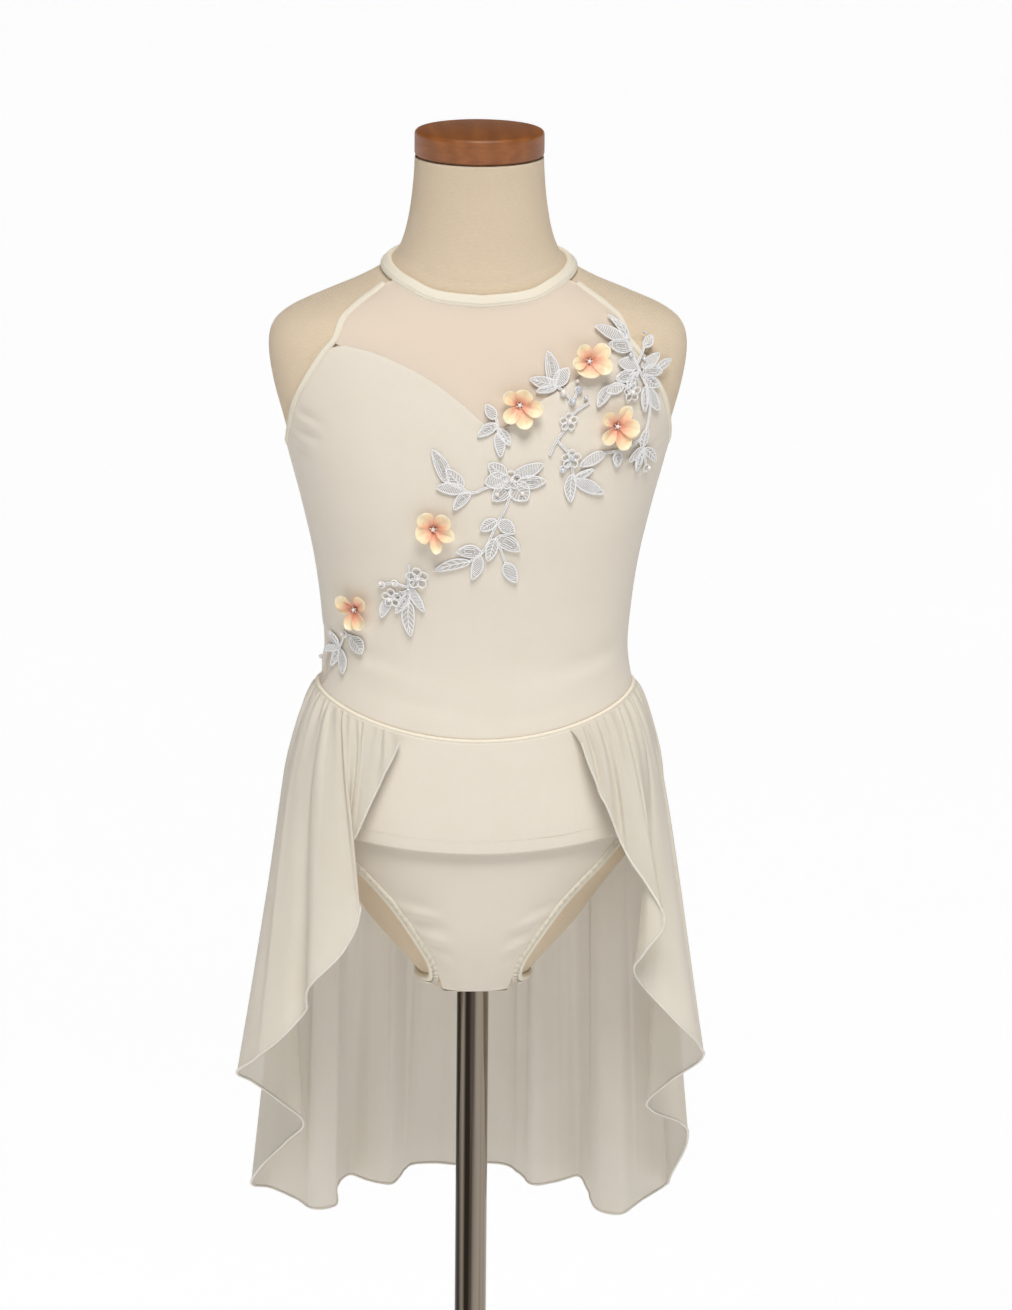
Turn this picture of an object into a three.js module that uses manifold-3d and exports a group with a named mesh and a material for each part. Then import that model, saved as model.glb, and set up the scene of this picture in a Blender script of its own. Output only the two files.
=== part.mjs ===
// A child's lyrical dance costume on a limbless torso form.
// The costume is a halter leotard with a sheer yoke, a hip panel, a gathered high-low skirt and a spray of
// fabric flowers and lace leaves. The form stands on a pole and a round base.
// Millimetres. Origin on the floor under the pole, +Z up, the front faces -Y, +X is the costume's left side.
import * as THREE from "three";
import { mergeVertices } from "three/addons/utils/BufferGeometryUtils.js";
import Module from "manifold-3d";

const wasm = await Module();
wasm.setup();

// Driving sizes.
const clothInner = 1.4; // from the form to the inside of the leotard
const clothOuter = 2.6; // from the form to the outside of the leotard
const formGive = 0.6; // the padding gives this much under the cloth
const seamGap = 0.3; // between pieces that meet at a seam
const chordGap = 0.2; // more than that along curved seams, whose two sides have different facets
const formBottom = 645;
const formTop = 1250;
const neckBandWidth = 10;
const armholeBindingWidth = 5.5;
const legBindingWidth = 9;
const pipingWidth = 3;
const bindingInner = 1;
const bindingOuter = 3.1;
const pipingOuter = 4.6;
const hipPanelInner = 3.3; // lies over the brief
const hipPanelStandOff = 3.6; // more than that at its hem
const hipPanelWall = 1.3;
const skirtInner = 5.2; // at the waist seam, over the hip panel
const skirtWall = 1.3;
const capHeight = 18;
const capRadius = 46.3;
const sideSeam = 93; // degrees from the front centre, on both sides
const sideSeamHalf = 0.1; // degrees, half the gap in a side seam
const poleRadius = 11.5;
const poleBottom = 8.3;
const baseRadius = 140;
const baseHeight = 8;
const gussetHalfWidth = 24;
const gussetHalfLength = 33;

// The torso, from the crotch to the neck. half is half its width, front and back are its depths from the axis
// of the pole, and square is the power of the rounded section: 2 is an ellipse, more is squarer.
const torsoSections = [
  { height: 645, half: 34, front: 38, back: 38, square: 2.2 },
  { height: 665, half: 51, front: 50, back: 54, square: 2.2 },
  { height: 690, half: 73, front: 61, back: 70, square: 2.2 },
  { height: 720, half: 95, front: 70, back: 84, square: 2.25 },
  { height: 750, half: 117, front: 77, back: 91, square: 2.3 },
  { height: 780, half: 125, front: 80, back: 90, square: 2.3 },
  { height: 820, half: 121, front: 79, back: 80, square: 2.25 },
  { height: 860, half: 112, front: 75, back: 66, square: 2.2 },
  { height: 890, half: 107, front: 73, back: 60, square: 2.2 },
  { height: 920, half: 108.5, front: 75, back: 62, square: 2.25 },
  { height: 960, half: 114, front: 80, back: 69, square: 2.3 },
  { height: 1000, half: 123, front: 85, back: 77, square: 2.35 },
  { height: 1030, half: 131, front: 85, back: 81, square: 2.4 },
  { height: 1060, half: 139, front: 83, back: 82, square: 2.4 },
  { height: 1090, half: 147, front: 78, back: 80, square: 2.35 },
  { height: 1115, half: 150, front: 72, back: 76, square: 2.35 },
  { height: 1130, half: 146, front: 68, back: 72, square: 2.3 },
  { height: 1140, half: 134, front: 65, back: 69, square: 2.25 },
  { height: 1150, half: 112, front: 62, back: 65, square: 2.2 },
  { height: 1160, half: 88, front: 59, back: 61, square: 2.15 },
  { height: 1170, half: 70, front: 57, back: 57, square: 2.1 },
  { height: 1180, half: 59.5, front: 55, back: 54, square: 2.1 },
  { height: 1192, half: 54, front: 53, back: 52, square: 2.1 },
  { height: 1210, half: 50, front: 50, back: 50, square: 2.05 },
  { height: 1232, half: 47.5, front: 47, back: 48, square: 2 },
  { height: 1250, half: 46.5, front: 46, back: 47, square: 2 },
];

// The neckline under the yoke: turn is the angle round the body from the front centre, in degrees.
const sweetheart = [
  { turn: -39.5, height: 1124 },
  { turn: -30, height: 1119.5 },
  { turn: -22, height: 1112 },
  { turn: -14, height: 1101 },
  { turn: -6, height: 1085.5 },
  { turn: 0, height: 1072 },
  { turn: 3, height: 1066.5 },
  { turn: 6, height: 1069 },
  { turn: 16, height: 1087 },
  { turn: 26, height: 1103 },
  { turn: 33, height: 1115 },
  { turn: 39.5, height: 1124 },
];

// The line of the neck band, and the armhole binding from the neck band, under the arm, to the back centre.
const neckLine = [
  { turn: 0, height: 1155 },
  { turn: 20, height: 1158 },
  { turn: 40, height: 1165 },
  { turn: 70, height: 1171.5 },
  { turn: 110, height: 1175 },
  { turn: 180, height: 1176 },
];
const armholeLine = [
  { turn: 54, height: 1162.8 },
  { turn: 46.5, height: 1145 },
  { turn: 42, height: 1129 },
  { turn: 45, height: 1117 },
  { turn: 52, height: 1098 },
  { turn: 60, height: 1080 },
  { turn: 69, height: 1061 },
  { turn: 79, height: 1048 },
  { turn: 93, height: 1041 },
  { turn: 112, height: 1033 },
  { turn: 140, height: 1014 },
  { turn: 160, height: 1001 },
  { turn: 180, height: 996 },
];

// The binding round one leg hole, a closed line from the side seam down the front and up the back.
const legLine = [
  { turn: 90, height: 798 },
  { turn: 74, height: 789 },
  { turn: 62, height: 776 },
  { turn: 53, height: 761 },
  { turn: 46, height: 742 },
  { turn: 41, height: 722 },
  { turn: 37, height: 702 },
  { turn: 34.5, height: 682 },
  { turn: 35, height: 666 },
  { turn: 43, height: 654.5 },
  { turn: 64, height: 650.5 },
  { turn: 90, height: 650 },
  { turn: 116, height: 650.5 },
  { turn: 136, height: 654.5 },
  { turn: 142, height: 666 },
  { turn: 139, height: 686 },
  { turn: 132, height: 710 },
  { turn: 124, height: 738 },
  { turn: 116, height: 765 },
  { turn: 106, height: 788 },
];

// The sheer inset at the waist, an oval cut off by the waist seam.
const inset = { turn: -93, height: 886, halfTurn: 22.5, halfHeight: 26 };

// The skirt's hem, a row for each fold. seam is the angle where that fold leaves the waist seam, and
// x, y, z is the hem there. The rows run from the right front corner round the back to the left front corner.
const skirtFolds = [
  { seam: -29, x: -57, y: -80, z: 839 },
  { seam: -35, x: -73, y: -83, z: 807 },
  { seam: -41, x: -88, y: -84, z: 773 },
  { seam: -46, x: -96, y: -80, z: 756 },
  { seam: -50, x: -93, y: -88, z: 738 },
  { seam: -54, x: -86, y: -98, z: 718 },
  { seam: -58, x: -98, y: -104, z: 692 },
  { seam: -62, x: -122, y: -98, z: 664 },
  { seam: -65, x: -124, y: -82, z: 643 },
  { seam: -69, x: -140, y: -76, z: 622 },
  { seam: -75, x: -160, y: -60, z: 601 },
  { seam: -82, x: -172, y: -32, z: 583 },
  { seam: -88, x: -160, y: -10, z: 570 },
  { seam: -93, x: -138, y: 0, z: 551 },
  { seam: -97, x: -122, y: 8, z: 534 },
  { seam: -101, x: -134, y: 26, z: 515 },
  { seam: -106, x: -152, y: 50, z: 489 },
  { seam: -112, x: -158, y: 78, z: 467 },
  { seam: -118, x: -144, y: 100, z: 458 },
  { seam: -124, x: -126, y: 92, z: 452 },
  { seam: -129, x: -112, y: 78, z: 448 },
  { seam: -134, x: -97, y: 82, z: 449 },
  { seam: -139, x: -94, y: 112, z: 455 },
  { seam: -144, x: -84, y: 134, z: 458 },
  { seam: -149, x: -70, y: 124, z: 456 },
  { seam: -154, x: -55, y: 118, z: 455 },
  { seam: -159, x: -46, y: 134, z: 457 },
  { seam: -165, x: -38, y: 158, z: 458 },
  { seam: -172, x: -20, y: 164, z: 458 },
  { seam: -179, x: -2, y: 158, z: 458 },
  { seam: -186, x: 14, y: 163, z: 458 },
  { seam: -193, x: 32, y: 158, z: 458 },
  { seam: -199, x: 42, y: 140, z: 457 },
  { seam: -205, x: 52, y: 118, z: 454 },
  { seam: -211, x: 70, y: 122, z: 455 },
  { seam: -217, x: 86, y: 130, z: 457 },
  { seam: -222, x: 92, y: 106, z: 452 },
  { seam: -227, x: 98, y: 76, z: 446 },
  { seam: -232, x: 114, y: 66, z: 446 },
  { seam: -237, x: 130, y: 82, z: 452 },
  { seam: -243, x: 148, y: 92, z: 460 },
  { seam: -249, x: 152, y: 66, z: 478 },
  { seam: -255, x: 160, y: 36, z: 510 },
  { seam: -260, x: 156, y: 18, z: 528 },
  { seam: -264, x: 132, y: 6, z: 542 },
  { seam: -268, x: 128, y: -8, z: 553 },
  { seam: -272, x: 144, y: -22, z: 573 },
  { seam: -278, x: 164, y: -42, z: 594 },
  { seam: -284, x: 160, y: -66, z: 612 },
  { seam: -290, x: 140, y: -78, z: 635 },
  { seam: -295, x: 112, y: -80, z: 670 },
  { seam: -299, x: 118, y: -96, z: 688 },
  { seam: -303, x: 132, y: -100, z: 712 },
  { seam: -308, x: 120, y: -92, z: 737 },
  { seam: -313, x: 106, y: -84, z: 757 },
  { seam: -319, x: 93, y: -84, z: 787 },
  { seam: -325, x: 80, y: -82, z: 817 },
  { seam: -328, x: 72, y: -78, z: 838 },
];

// The fabric flowers. across is a flower's size and spin turns its petals.
const flowers = [
  { name: "flower_1", turn: 28.5, height: 1113, across: 32, spin: 43 },
  { name: "flower_2", turn: 10, height: 1084, across: 32, spin: 70 },
  { name: "flower_3", turn: 39, height: 1067, across: 33, spin: 68 },
  { name: "flower_4", turn: -16, height: 997, across: 32, spin: 55 },
  { name: "flower_5", turn: -49, height: 932, across: 30, spin: 37 },
];

// The lace sprays. lift is from the form to the lace. A leaf starts at turn and height and points along
// lean, in degrees from the way round the body. A stem runs through its spots. A round is a small flower
// or a bead seat.
const laceSprays = {
  shoulder: {
    lift: 3.6,
    leaves: [
      { turn: 41, height: 1126, length: 17, width: 6, lean: 95 },
      { turn: 40, height: 1127, length: 19, width: 9, lean: 150 },
      { turn: 42, height: 1121, length: 17, width: 9, lean: 170 },
      { turn: 46, height: 1121, length: 11, width: 6, lean: 35 },
      { turn: 45, height: 1107, length: 17, width: 8, lean: 30 },
      { turn: 45.5, height: 1104, length: 17, width: 8, lean: -5 },
      { turn: 46, height: 1101, length: 17, width: 8, lean: -30 },
      { turn: 43.5, height: 1107, length: 15, width: 9, lean: 160 },
      { turn: 42.5, height: 1104, length: 14, width: 8, lean: -165 },
      { turn: 43, height: 1104, length: 12, width: 7, lean: -115 },
      { turn: 48, height: 1092, length: 22, width: 8, lean: -50 },
      { turn: 47, height: 1093, length: 18, width: 6, lean: -80 },
      { turn: 50.5, height: 1104, length: 15, width: 6, lean: 25 },
      { turn: 39.5, height: 1095, length: 13, width: 8, lean: -165 },
      { turn: 35.5, height: 1096, length: 17, width: 8, lean: -120 },
      { turn: 51, height: 1050, length: 14, width: 7, lean: 90 },
      { turn: 51.3, height: 1050, length: 14, width: 6, lean: -140 },
      { turn: 51, height: 1048, length: 15, width: 6, lean: -95 },
      { turn: 52, height: 1049, length: 20, width: 6, lean: -35 },
      { turn: 36.5, height: 1049, length: 19, width: 8, lean: -155 },
      { turn: 40.5, height: 1049, length: 11, width: 7, lean: -75 },
    ],
    stems: [
      [[40.5, 1128], [41.5, 1118], [44, 1106], [47.5, 1094]],
      [[44, 1106], [42, 1090], [39, 1096], [35, 1096]],
      [[47.5, 1094], [50, 1084], [51, 1070], [51, 1053], [52.5, 1046], [55, 1036]],
      [[46.5, 1122], [43.5, 1110]],
      [[51, 1058], [46, 1053], [41, 1050], [35.5, 1049]],
    ],
    rounds: [
      { turn: 42.5, height: 1090, across: 8 },
      { turn: 55.5, height: 1034, across: 6 },
    ],
  },
  neckline: {
    lift: 2.9,
    leaves: [
      { turn: 19, height: 1097, length: 25, width: 9, lean: 100 },
      { turn: 20, height: 1097, length: 20, width: 8, lean: 165 },
      { turn: 19.5, height: 1097, length: 15, width: 10, lean: 55 },
      { turn: 20, height: 1096, length: 15, width: 5, lean: -170 },
    ],
    stems: [[[19, 1098], [22, 1093], [24.5, 1087], [26, 1094]]],
    rounds: [
      { turn: 22, height: 1092, across: 5 },
      { turn: 24.5, height: 1086, across: 5 },
      { turn: 26, height: 1094, across: 5 },
    ],
  },
  collar: {
    lift: 2.9,
    leaves: [
      { turn: 3.5, height: 1075, length: 12, width: 7, lean: 125 },
      { turn: 4, height: 1071, length: 16, width: 7, lean: -150 },
      { turn: 4.5, height: 1068, length: 14, width: 6, lean: -55 },
      { turn: 4, height: 1065, length: 17, width: 7, lean: -80 },
    ],
    stems: [[[3.5, 1076], [4, 1071], [4.5, 1062]]],
    rounds: [],
  },
  stem: {
    lift: 2.9,
    leaves: [
      { turn: 27, height: 1035, length: 20, width: 8, lean: -85 },
      { turn: 28, height: 1031, length: 27, width: 8, lean: -25 },
      { turn: 28, height: 1032, length: 14, width: 5, lean: 25 },
    ],
    stems: [
      [[29.5, 1085], [25.5, 1078], [24, 1070], [21, 1058], [19.5, 1049]],
      [[21.5, 1059], [26, 1047], [27, 1037], [28.5, 1030]],
      [[26, 1044], [24, 1038]],
    ],
    rounds: [
      { turn: 24, height: 1072, across: 8 },
      { turn: 26, height: 1046, across: 9 },
      { turn: 24, height: 1039, across: 5 },
    ],
  },
  centre: {
    lift: 2.9,
    leaves: [
      { turn: -11, height: 1030, length: 25, width: 9, lean: 110 },
      { turn: -6, height: 1027, length: 17, width: 9, lean: 130 },
      { turn: -5.5, height: 1025, length: 20, width: 8, lean: 175 },
      { turn: -4, height: 1023, length: 17, width: 7, lean: -135 },
      { turn: 7, height: 1035, length: 15, width: 10, lean: 145 },
      { turn: 7.5, height: 1032, length: 16, width: 12, lean: -175 },
      { turn: 8, height: 1029, length: 16, width: 11, lean: -135 },
      { turn: 9.5, height: 1030, length: 16, width: 14, lean: -50 },
      { turn: 9.5, height: 1036, length: 21, width: 9, lean: 20 },
      { turn: 10.5, height: 1031, length: 20, width: 9, lean: 0 },
      { turn: 4.5, height: 1003, length: 13, width: 8, lean: -150 },
      { turn: 5.5, height: 1003, length: 14, width: 9, lean: -40 },
      { turn: 4.5, height: 991, length: 20, width: 10, lean: -30 },
      { turn: 4, height: 990, length: 17, width: 8, lean: -105 },
      { turn: 8, height: 972, length: 17, width: 9, lean: -60 },
      { turn: 0, height: 979, length: 18, width: 9, lean: 175 },
      { turn: -4, height: 973, length: 26, width: 7, lean: -165 },
      { turn: -1, height: 978, length: 19, width: 8, lean: -105 },
    ],
    stems: [
      [[8.5, 1033], [1.5, 1027], [-3.5, 1023], [-8.5, 1028], [-11.5, 1031]],
      [[8.5, 1033], [8, 1017], [4.5, 1000], [0, 980], [-5, 972]],
      [[4.5, 991], [8.5, 970]],
    ],
    rounds: [{ turn: 8.5, height: 1032, across: 9 }],
  },
  hip: {
    lift: 2.9,
    leaves: [
      { turn: -26, height: 953, length: 21, width: 6, lean: -60 },
      { turn: -25.5, height: 949, length: 20, width: 6, lean: -125 },
      { turn: -26, height: 942, length: 26, width: 9, lean: -90 },
      { turn: -32.5, height: 944, length: 18, width: 7, lean: -120 },
    ],
    stems: [
      [[-25, 970], [-26, 953], [-26, 940]],
      [[-36, 953], [-31.5, 955], [-26, 953], [-22.5, 960]],
      [[-32.5, 944], [-26.5, 950]],
    ],
    rounds: [
      { turn: -22.5, height: 960, across: 11 },
      { turn: -32.5, height: 944, across: 9 },
      { turn: -36, height: 953, across: 5 },
      { turn: -31, height: 955, across: 5 },
    ],
  },
  waist: {
    lift: 2.9,
    leaves: [
      { turn: -53, height: 910, length: 14, width: 12, lean: -50 },
      { turn: -61, height: 899, length: 19, width: 8, lean: -75 },
      { turn: -62, height: 898, length: 16, width: 7, lean: -120 },
      { turn: -61.5, height: 900, length: 15, width: 6, lean: 140 },
      { turn: -61.5, height: 899, length: 24, width: 5, lean: -165 },
    ],
    stems: [[[-52, 911], [-56, 911], [-61.5, 899]]],
    rounds: [{ turn: -57, height: 911, across: 5 }],
  },
};
const laceThickness = 1.8;
const stemWidth = 2;
const stemSink = 0.3; // stems are this much thinner than the leaves, on each face

const degree = Math.PI / 180;
const group = new THREE.Group();

function material(color, roughness, metalness = 0) {
  return new THREE.MeshStandardMaterial({ color, roughness, metalness });
}

const colours = {
  linen: 0xdecdaf,
  walnut: 0x8a4f2b,
  chrome: 0xb9b6b2,
  base: 0xc9c6c1,
  spandex: 0xe8e0cf,
  mesh: 0xe6d6c6,
  chiffon: 0xe6dfd4,
  lace: 0xe2e0e4,
  petal: 0xf4d3ae,
};

function add(name, geometry, color, roughness, metalness) {
  const mesh = new THREE.Mesh(geometry, material(color, roughness, metalness));
  mesh.name = name;
  group.add(mesh);
  return mesh;
}

// A smooth curve through the rows of a table: key as a function of along, with centred slopes.
function smooth(rows, along, key) {
  const last = rows.length - 1;
  const slopes = rows.map((row, i) => {
    const before = rows[Math.max(i - 1, 0)];
    const after = rows[Math.min(i + 1, last)];
    return (after[key] - before[key]) / (after[along] - before[along]);
  });
  const rising = rows[last][along] > rows[0][along];
  return (at) => {
    let i = 0;
    while (i < last - 1 && (rising ? at > rows[i + 1][along] : at < rows[i + 1][along])) i += 1;
    const span = rows[i + 1][along] - rows[i][along];
    const s = Math.min(Math.max((at - rows[i][along]) / span, 0), 1);
    const rise = s * s * (3 - 2 * s);
    return (
      rows[i][key] * (1 - rise) +
      rows[i + 1][key] * rise +
      span * s * (1 - s) * ((1 - s) * slopes[i] - s * slopes[i + 1])
    );
  };
}

const halfAt = smooth(torsoSections, "height", "half");
const frontAt = smooth(torsoSections, "height", "front");
const backAt = smooth(torsoSections, "height", "back");
const squareAt = smooth(torsoSections, "height", "square");

// The torso's surface at an angle round it, in degrees from the front centre, and a height.
function skin(turn, height) {
  const side = Math.sin(turn * degree);
  const ahead = Math.cos(turn * degree);
  const power = squareAt(height);
  const reach = (Math.abs(side) ** power + Math.abs(ahead) ** power) ** (-1 / power);
  const depth = ahead >= 0 ? frontAt(height) : backAt(height);
  return new THREE.Vector3(halfAt(height) * side * reach, -depth * ahead * reach, height);
}

// The directions round and up the surface, per degree and per millimetre of height, and the way out.
function skinFrame(turn, height) {
  const round = skin(turn + 0.1, height).sub(skin(turn - 0.1, height)).multiplyScalar(5);
  const up = skin(turn, height + 0.5).sub(skin(turn, height - 0.5));
  const out = new THREE.Vector3().crossVectors(round, up).normalize();
  return { round, up, out };
}

function offSkin(turn, height, out) {
  return skin(turn, height).addScaledVector(skinFrame(turn, height).out, out);
}

// A closed wall from an inner and an outer net of points. place(i, j, outer) gives a point, and loop joins
// the last column to the first.
function wall(columns, rows, place, loop = false) {
  const across = loop ? columns : columns + 1;
  const positions = [];
  for (const outer of [0, 1]) {
    for (let i = 0; i < across; i += 1) {
      for (let j = 0; j <= rows; j += 1) positions.push(...place(i, j, outer).toArray());
    }
  }
  const at = (i, j, outer) => (outer * across + (i % across)) * (rows + 1) + j;
  const index = [];
  const quad = (a, b, c, d) => index.push(a, b, c, a, c, d);
  for (let i = 0; i < columns; i += 1) {
    for (let j = 0; j < rows; j += 1) {
      quad(at(i, j, 1), at(i + 1, j, 1), at(i + 1, j + 1, 1), at(i, j + 1, 1));
      quad(at(i, j, 0), at(i, j + 1, 0), at(i + 1, j + 1, 0), at(i + 1, j, 0));
    }
    quad(at(i, 0, 0), at(i + 1, 0, 0), at(i + 1, 0, 1), at(i, 0, 1));
    quad(at(i, rows, 1), at(i + 1, rows, 1), at(i + 1, rows, 0), at(i, rows, 0));
  }
  for (let j = 0; j < rows && !loop; j += 1) {
    quad(at(0, j, 1), at(0, j + 1, 1), at(0, j + 1, 0), at(0, j, 0));
    quad(at(columns, j, 0), at(columns, j + 1, 0), at(columns, j + 1, 1), at(columns, j, 1));
  }
  return facingOut(positions, index);
}

// A geometry from points and triangles, turned round if its faces point inwards.
function facingOut(positions, index) {
  const geometry = new THREE.BufferGeometry();
  geometry.setAttribute("position", new THREE.Float32BufferAttribute(positions, 3));
  const corner = (k) => new THREE.Vector3().fromArray(positions, 3 * index[k]);
  let volume = 0;
  for (let k = 0; k < index.length; k += 3) {
    volume += corner(k).dot(corner(k + 1).cross(corner(k + 2)));
  }
  geometry.setIndex(volume < 0 ? index.reverse() : index);
  geometry.computeVertexNormals();
  return geometry;
}

// A strip along a line on the body. Its section is flat inside and slightly domed outside.
const stripDome = [0.75, 1, 0.75];

function strip(line, width, inner, outer, loop = false, dome = stripDome) {
  const frames = line.map((spot, i) => {
    const last = line.length - 1;
    const before = line[loop ? (i + last) % line.length : Math.max(i - 1, 0)];
    const after = line[loop ? (i + 1) % line.length : Math.min(i + 1, last)];
    const along = skin(after.turn, after.height).sub(skin(before.turn, before.height)).normalize();
    const { out } = skinFrame(spot.turn, spot.height);
    return { middle: skin(spot.turn, spot.height), out, side: along.cross(out).normalize() };
  });
  const across = dome.length - 1;
  const place = (i, j, outside) =>
    frames[i].middle
      .clone()
      .addScaledVector(frames[i].side, width * (j / across - 0.5))
      .addScaledVector(frames[i].out, outside ? inner + (outer - inner) * dome[j] : inner);
  return wall(loop ? line.length : line.length - 1, across, place, loop);
}

// A line moved sideways over the surface, to its left as it runs, by a distance.
function beside(line, distance) {
  return line.map((spot, i) => {
    const before = line[Math.max(i - 1, 0)];
    const after = line[Math.min(i + 1, line.length - 1)];
    const along = skin(after.turn, after.height).sub(skin(before.turn, before.height)).normalize();
    const { round, up, out } = skinFrame(spot.turn, spot.height);
    const way = out.clone().cross(along).normalize().multiplyScalar(distance);
    const rr = round.dot(round);
    const ru = round.dot(up);
    const uu = up.dot(up);
    const area = rr * uu - ru * ru;
    const wr = way.dot(round);
    const wu = way.dot(up);
    return { turn: spot.turn + (wr * uu - wu * ru) / area, height: spot.height + (wu * rr - wr * ru) / area };
  });
}

// A table's line sampled evenly in its rows.
function sampled(rows, count, loop = false) {
  const points = rows.map((row) => new THREE.Vector3(row.turn, row.height, 0));
  const curve = new THREE.CatmullRomCurve3(points, loop, "centripetal");
  const spots = curve.getPoints(count).map((p) => ({ turn: p.x, height: p.y }));
  return loop ? spots.slice(0, -1) : spots;
}

const mirrored = (line) => line.map(({ turn, height }) => ({ turn: -turn, height })).reverse();
const mix = (a, b, s) => a + (b - a) * s;

function straight(from, to, count) {
  return Array.from({ length: count + 1 }, (_, i) => ({
    turn: mix(from.turn, to.turn, i / count),
    height: mix(from.height, to.height, i / count),
  }));
}

// A panel between four edges. bottom and top run one way, left and right run upwards.
function panel(bottom, top, left, right, inner, outer) {
  const columns = bottom.length - 1;
  const rows = left.length - 1;
  const inside = (i, j, key) => {
    const u = i / columns;
    const v = j / rows;
    const across = mix(left[j][key], right[j][key], u);
    const upward = mix(bottom[i][key], top[i][key], v);
    const corners = mix(mix(left[0][key], right[0][key], u), mix(left[rows][key], right[rows][key], u), v);
    return across + upward - corners;
  };
  return wall(columns, rows, (i, j, outside) => {
    const off = outside ? outer : inner;
    const rise = typeof off === "number" ? off : off(j / rows);
    return offSkin(inside(i, j, "turn"), inside(i, j, "height"), rise);
  });
}

// The waist seam: lower at the front centre than at the sides and the back.
function waistHeight(turn) {
  const side = Math.sin(turn * degree) ** 2;
  return Math.cos(turn * degree) > 0 ? 839.5 + 26 * side : 868 - 2.5 * side;
}

function waistLine(from, to, count, drop) {
  return Array.from({ length: count + 1 }, (_, i) => {
    const turn = mix(from, to, i / count);
    return { turn, height: waistHeight(turn) + drop };
  });
}

const waistEdge = pipingWidth / 2 + seamGap + chordGap;

// The form, its cap, the pole and the base.
function makeForm() {
  const around = 28;
  const heights = torsoSections.map((section) => section.height);
  const positions = [0, 0, formBottom];
  for (const height of heights) {
    for (let i = 0; i < around; i += 1) {
      positions.push(...offSkin((360 * i) / around, height, -formGive).toArray());
    }
  }
  positions.push(0, 0, formTop);
  const index = [];
  const at = (i, j) => 1 + j * around + (i % around);
  const top = positions.length / 3 - 1;
  for (let i = 0; i < around; i += 1) {
    index.push(0, at(i + 1, 0), at(i, 0), top, at(i, heights.length - 1), at(i + 1, heights.length - 1));
    for (let j = 0; j < heights.length - 1; j += 1) {
      index.push(at(i, j), at(i + 1, j), at(i + 1, j + 1), at(i, j), at(i + 1, j + 1), at(i, j + 1));
    }
  }
  add("form_torso", facingOut(positions, index), colours.linen, 0.9);
}

// A body of revolution round the pole's axis, from radius and height pairs that start and end on the axis.
function turned(profile, sides) {
  const geometry = new THREE.LatheGeometry(profile.map(([r, h]) => new THREE.Vector2(r, h)), sides);
  geometry.rotateX(Math.PI / 2);
  return geometry;
}

function makeStand() {
  const capBottom = formTop + seamGap;
  const capTop = capBottom + capHeight;
  const capProfile = [
    [0, capBottom],
    [capRadius - 1.5, capBottom],
    [capRadius, capBottom + 1.5],
    [capRadius, capTop - 3],
    [capRadius - 1, capTop - 1],
    [capRadius - 3, capTop],
    [0, capTop],
  ];
  add("neck_cap", turned(capProfile, 24), colours.walnut, 0.45);
  const poleTop = formBottom - seamGap;
  const poleProfile = [
    [0, poleBottom],
    [poleRadius, poleBottom],
    [poleRadius, poleTop],
    [0, poleTop],
  ];
  add("pole", turned(poleProfile, 24), colours.chrome, 0.12, 1);
  const baseProfile = [
    [0, 0],
    [baseRadius, 0],
    [baseRadius, baseHeight - 3],
    [baseRadius - 1.5, baseHeight - 0.8],
    [baseRadius - 5, baseHeight],
    [0, baseHeight],
  ];
  add("base_plate", turned(baseProfile, 32), colours.base, 0.3, 1);
}

// The armhole line from the neck band on the right, under the arm, across the back and up the left.
function armholeRun(count) {
  const half = sampled(armholeLine, count);
  const right = half.map(({ turn, height }) => ({ turn: -turn, height }));
  const left = half.map(({ turn, height }) => ({ turn: turn - 360, height })).reverse();
  return [...right, ...left.slice(1)];
}

function neckRing(count) {
  const neckHeight = smooth(neckLine, "turn", "height");
  return Array.from({ length: count }, (_, i) => {
    const turn = (360 * i) / count - 180;
    return { turn, height: neckHeight(Math.abs(turn)) };
  });
}

const legRing = sampled(legLine, 22, true);

// The leotard's bindings and the piping in its waist seam.
function makeTrims() {
  const trims = [
    ["neck_band", strip(neckRing(36), neckBandWidth, bindingInner, bindingOuter, true)],
    ["armhole_binding", strip(armholeRun(26), armholeBindingWidth, bindingInner, bindingOuter)],
    ["waist_piping", strip(waistLine(-180, 171, 39, 0), pipingWidth, bindingInner, pipingOuter, true)],
    ["leg_binding_left", strip(legRing, legBindingWidth, bindingInner, bindingOuter, true)],
    ["leg_binding_right", strip(mirrored(legRing), legBindingWidth, bindingInner, bindingOuter, true)],
  ];
  for (const [name, geometry] of trims) add(name, geometry, colours.spandex, 0.6);
}

// The edges of the panels, each run beside the trim or the seam that it meets.
const besideArmhole = beside(sampled(armholeLine, 44), -(armholeBindingWidth / 2 + seamGap + chordGap));
const besideNeck = beside(neckRing(72), -(neckBandWidth / 2 + seamGap));
const besideLeg = beside([...legRing, legRing[0]], -(legBindingWidth / 2 + seamGap + chordGap));
const yokeTopTurn = 51.2;

// The spot on a line where its turn or its height has a value.
function spotOn(line, key, value) {
  const within = line.findIndex((spot, i) => i > 0 && (spot[key] - value) * (line[i - 1][key] - value) <= 0);
  const k = within > 0 ? within : line.length - 1;
  const share = (value - line[k - 1][key]) / (line[k][key] - line[k - 1][key]);
  return {
    turn: mix(line[k - 1].turn, line[k].turn, share),
    height: mix(line[k - 1].height, line[k].height, share),
  };
}

// The line of an armhole below its corner with the neckline, and the yoke's side above that corner.
const armholeLow = besideArmhole.filter(({ height }) => height < 1122);
const armholeHigh = besideArmhole.filter(({ height }) => height > 1122);

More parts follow.
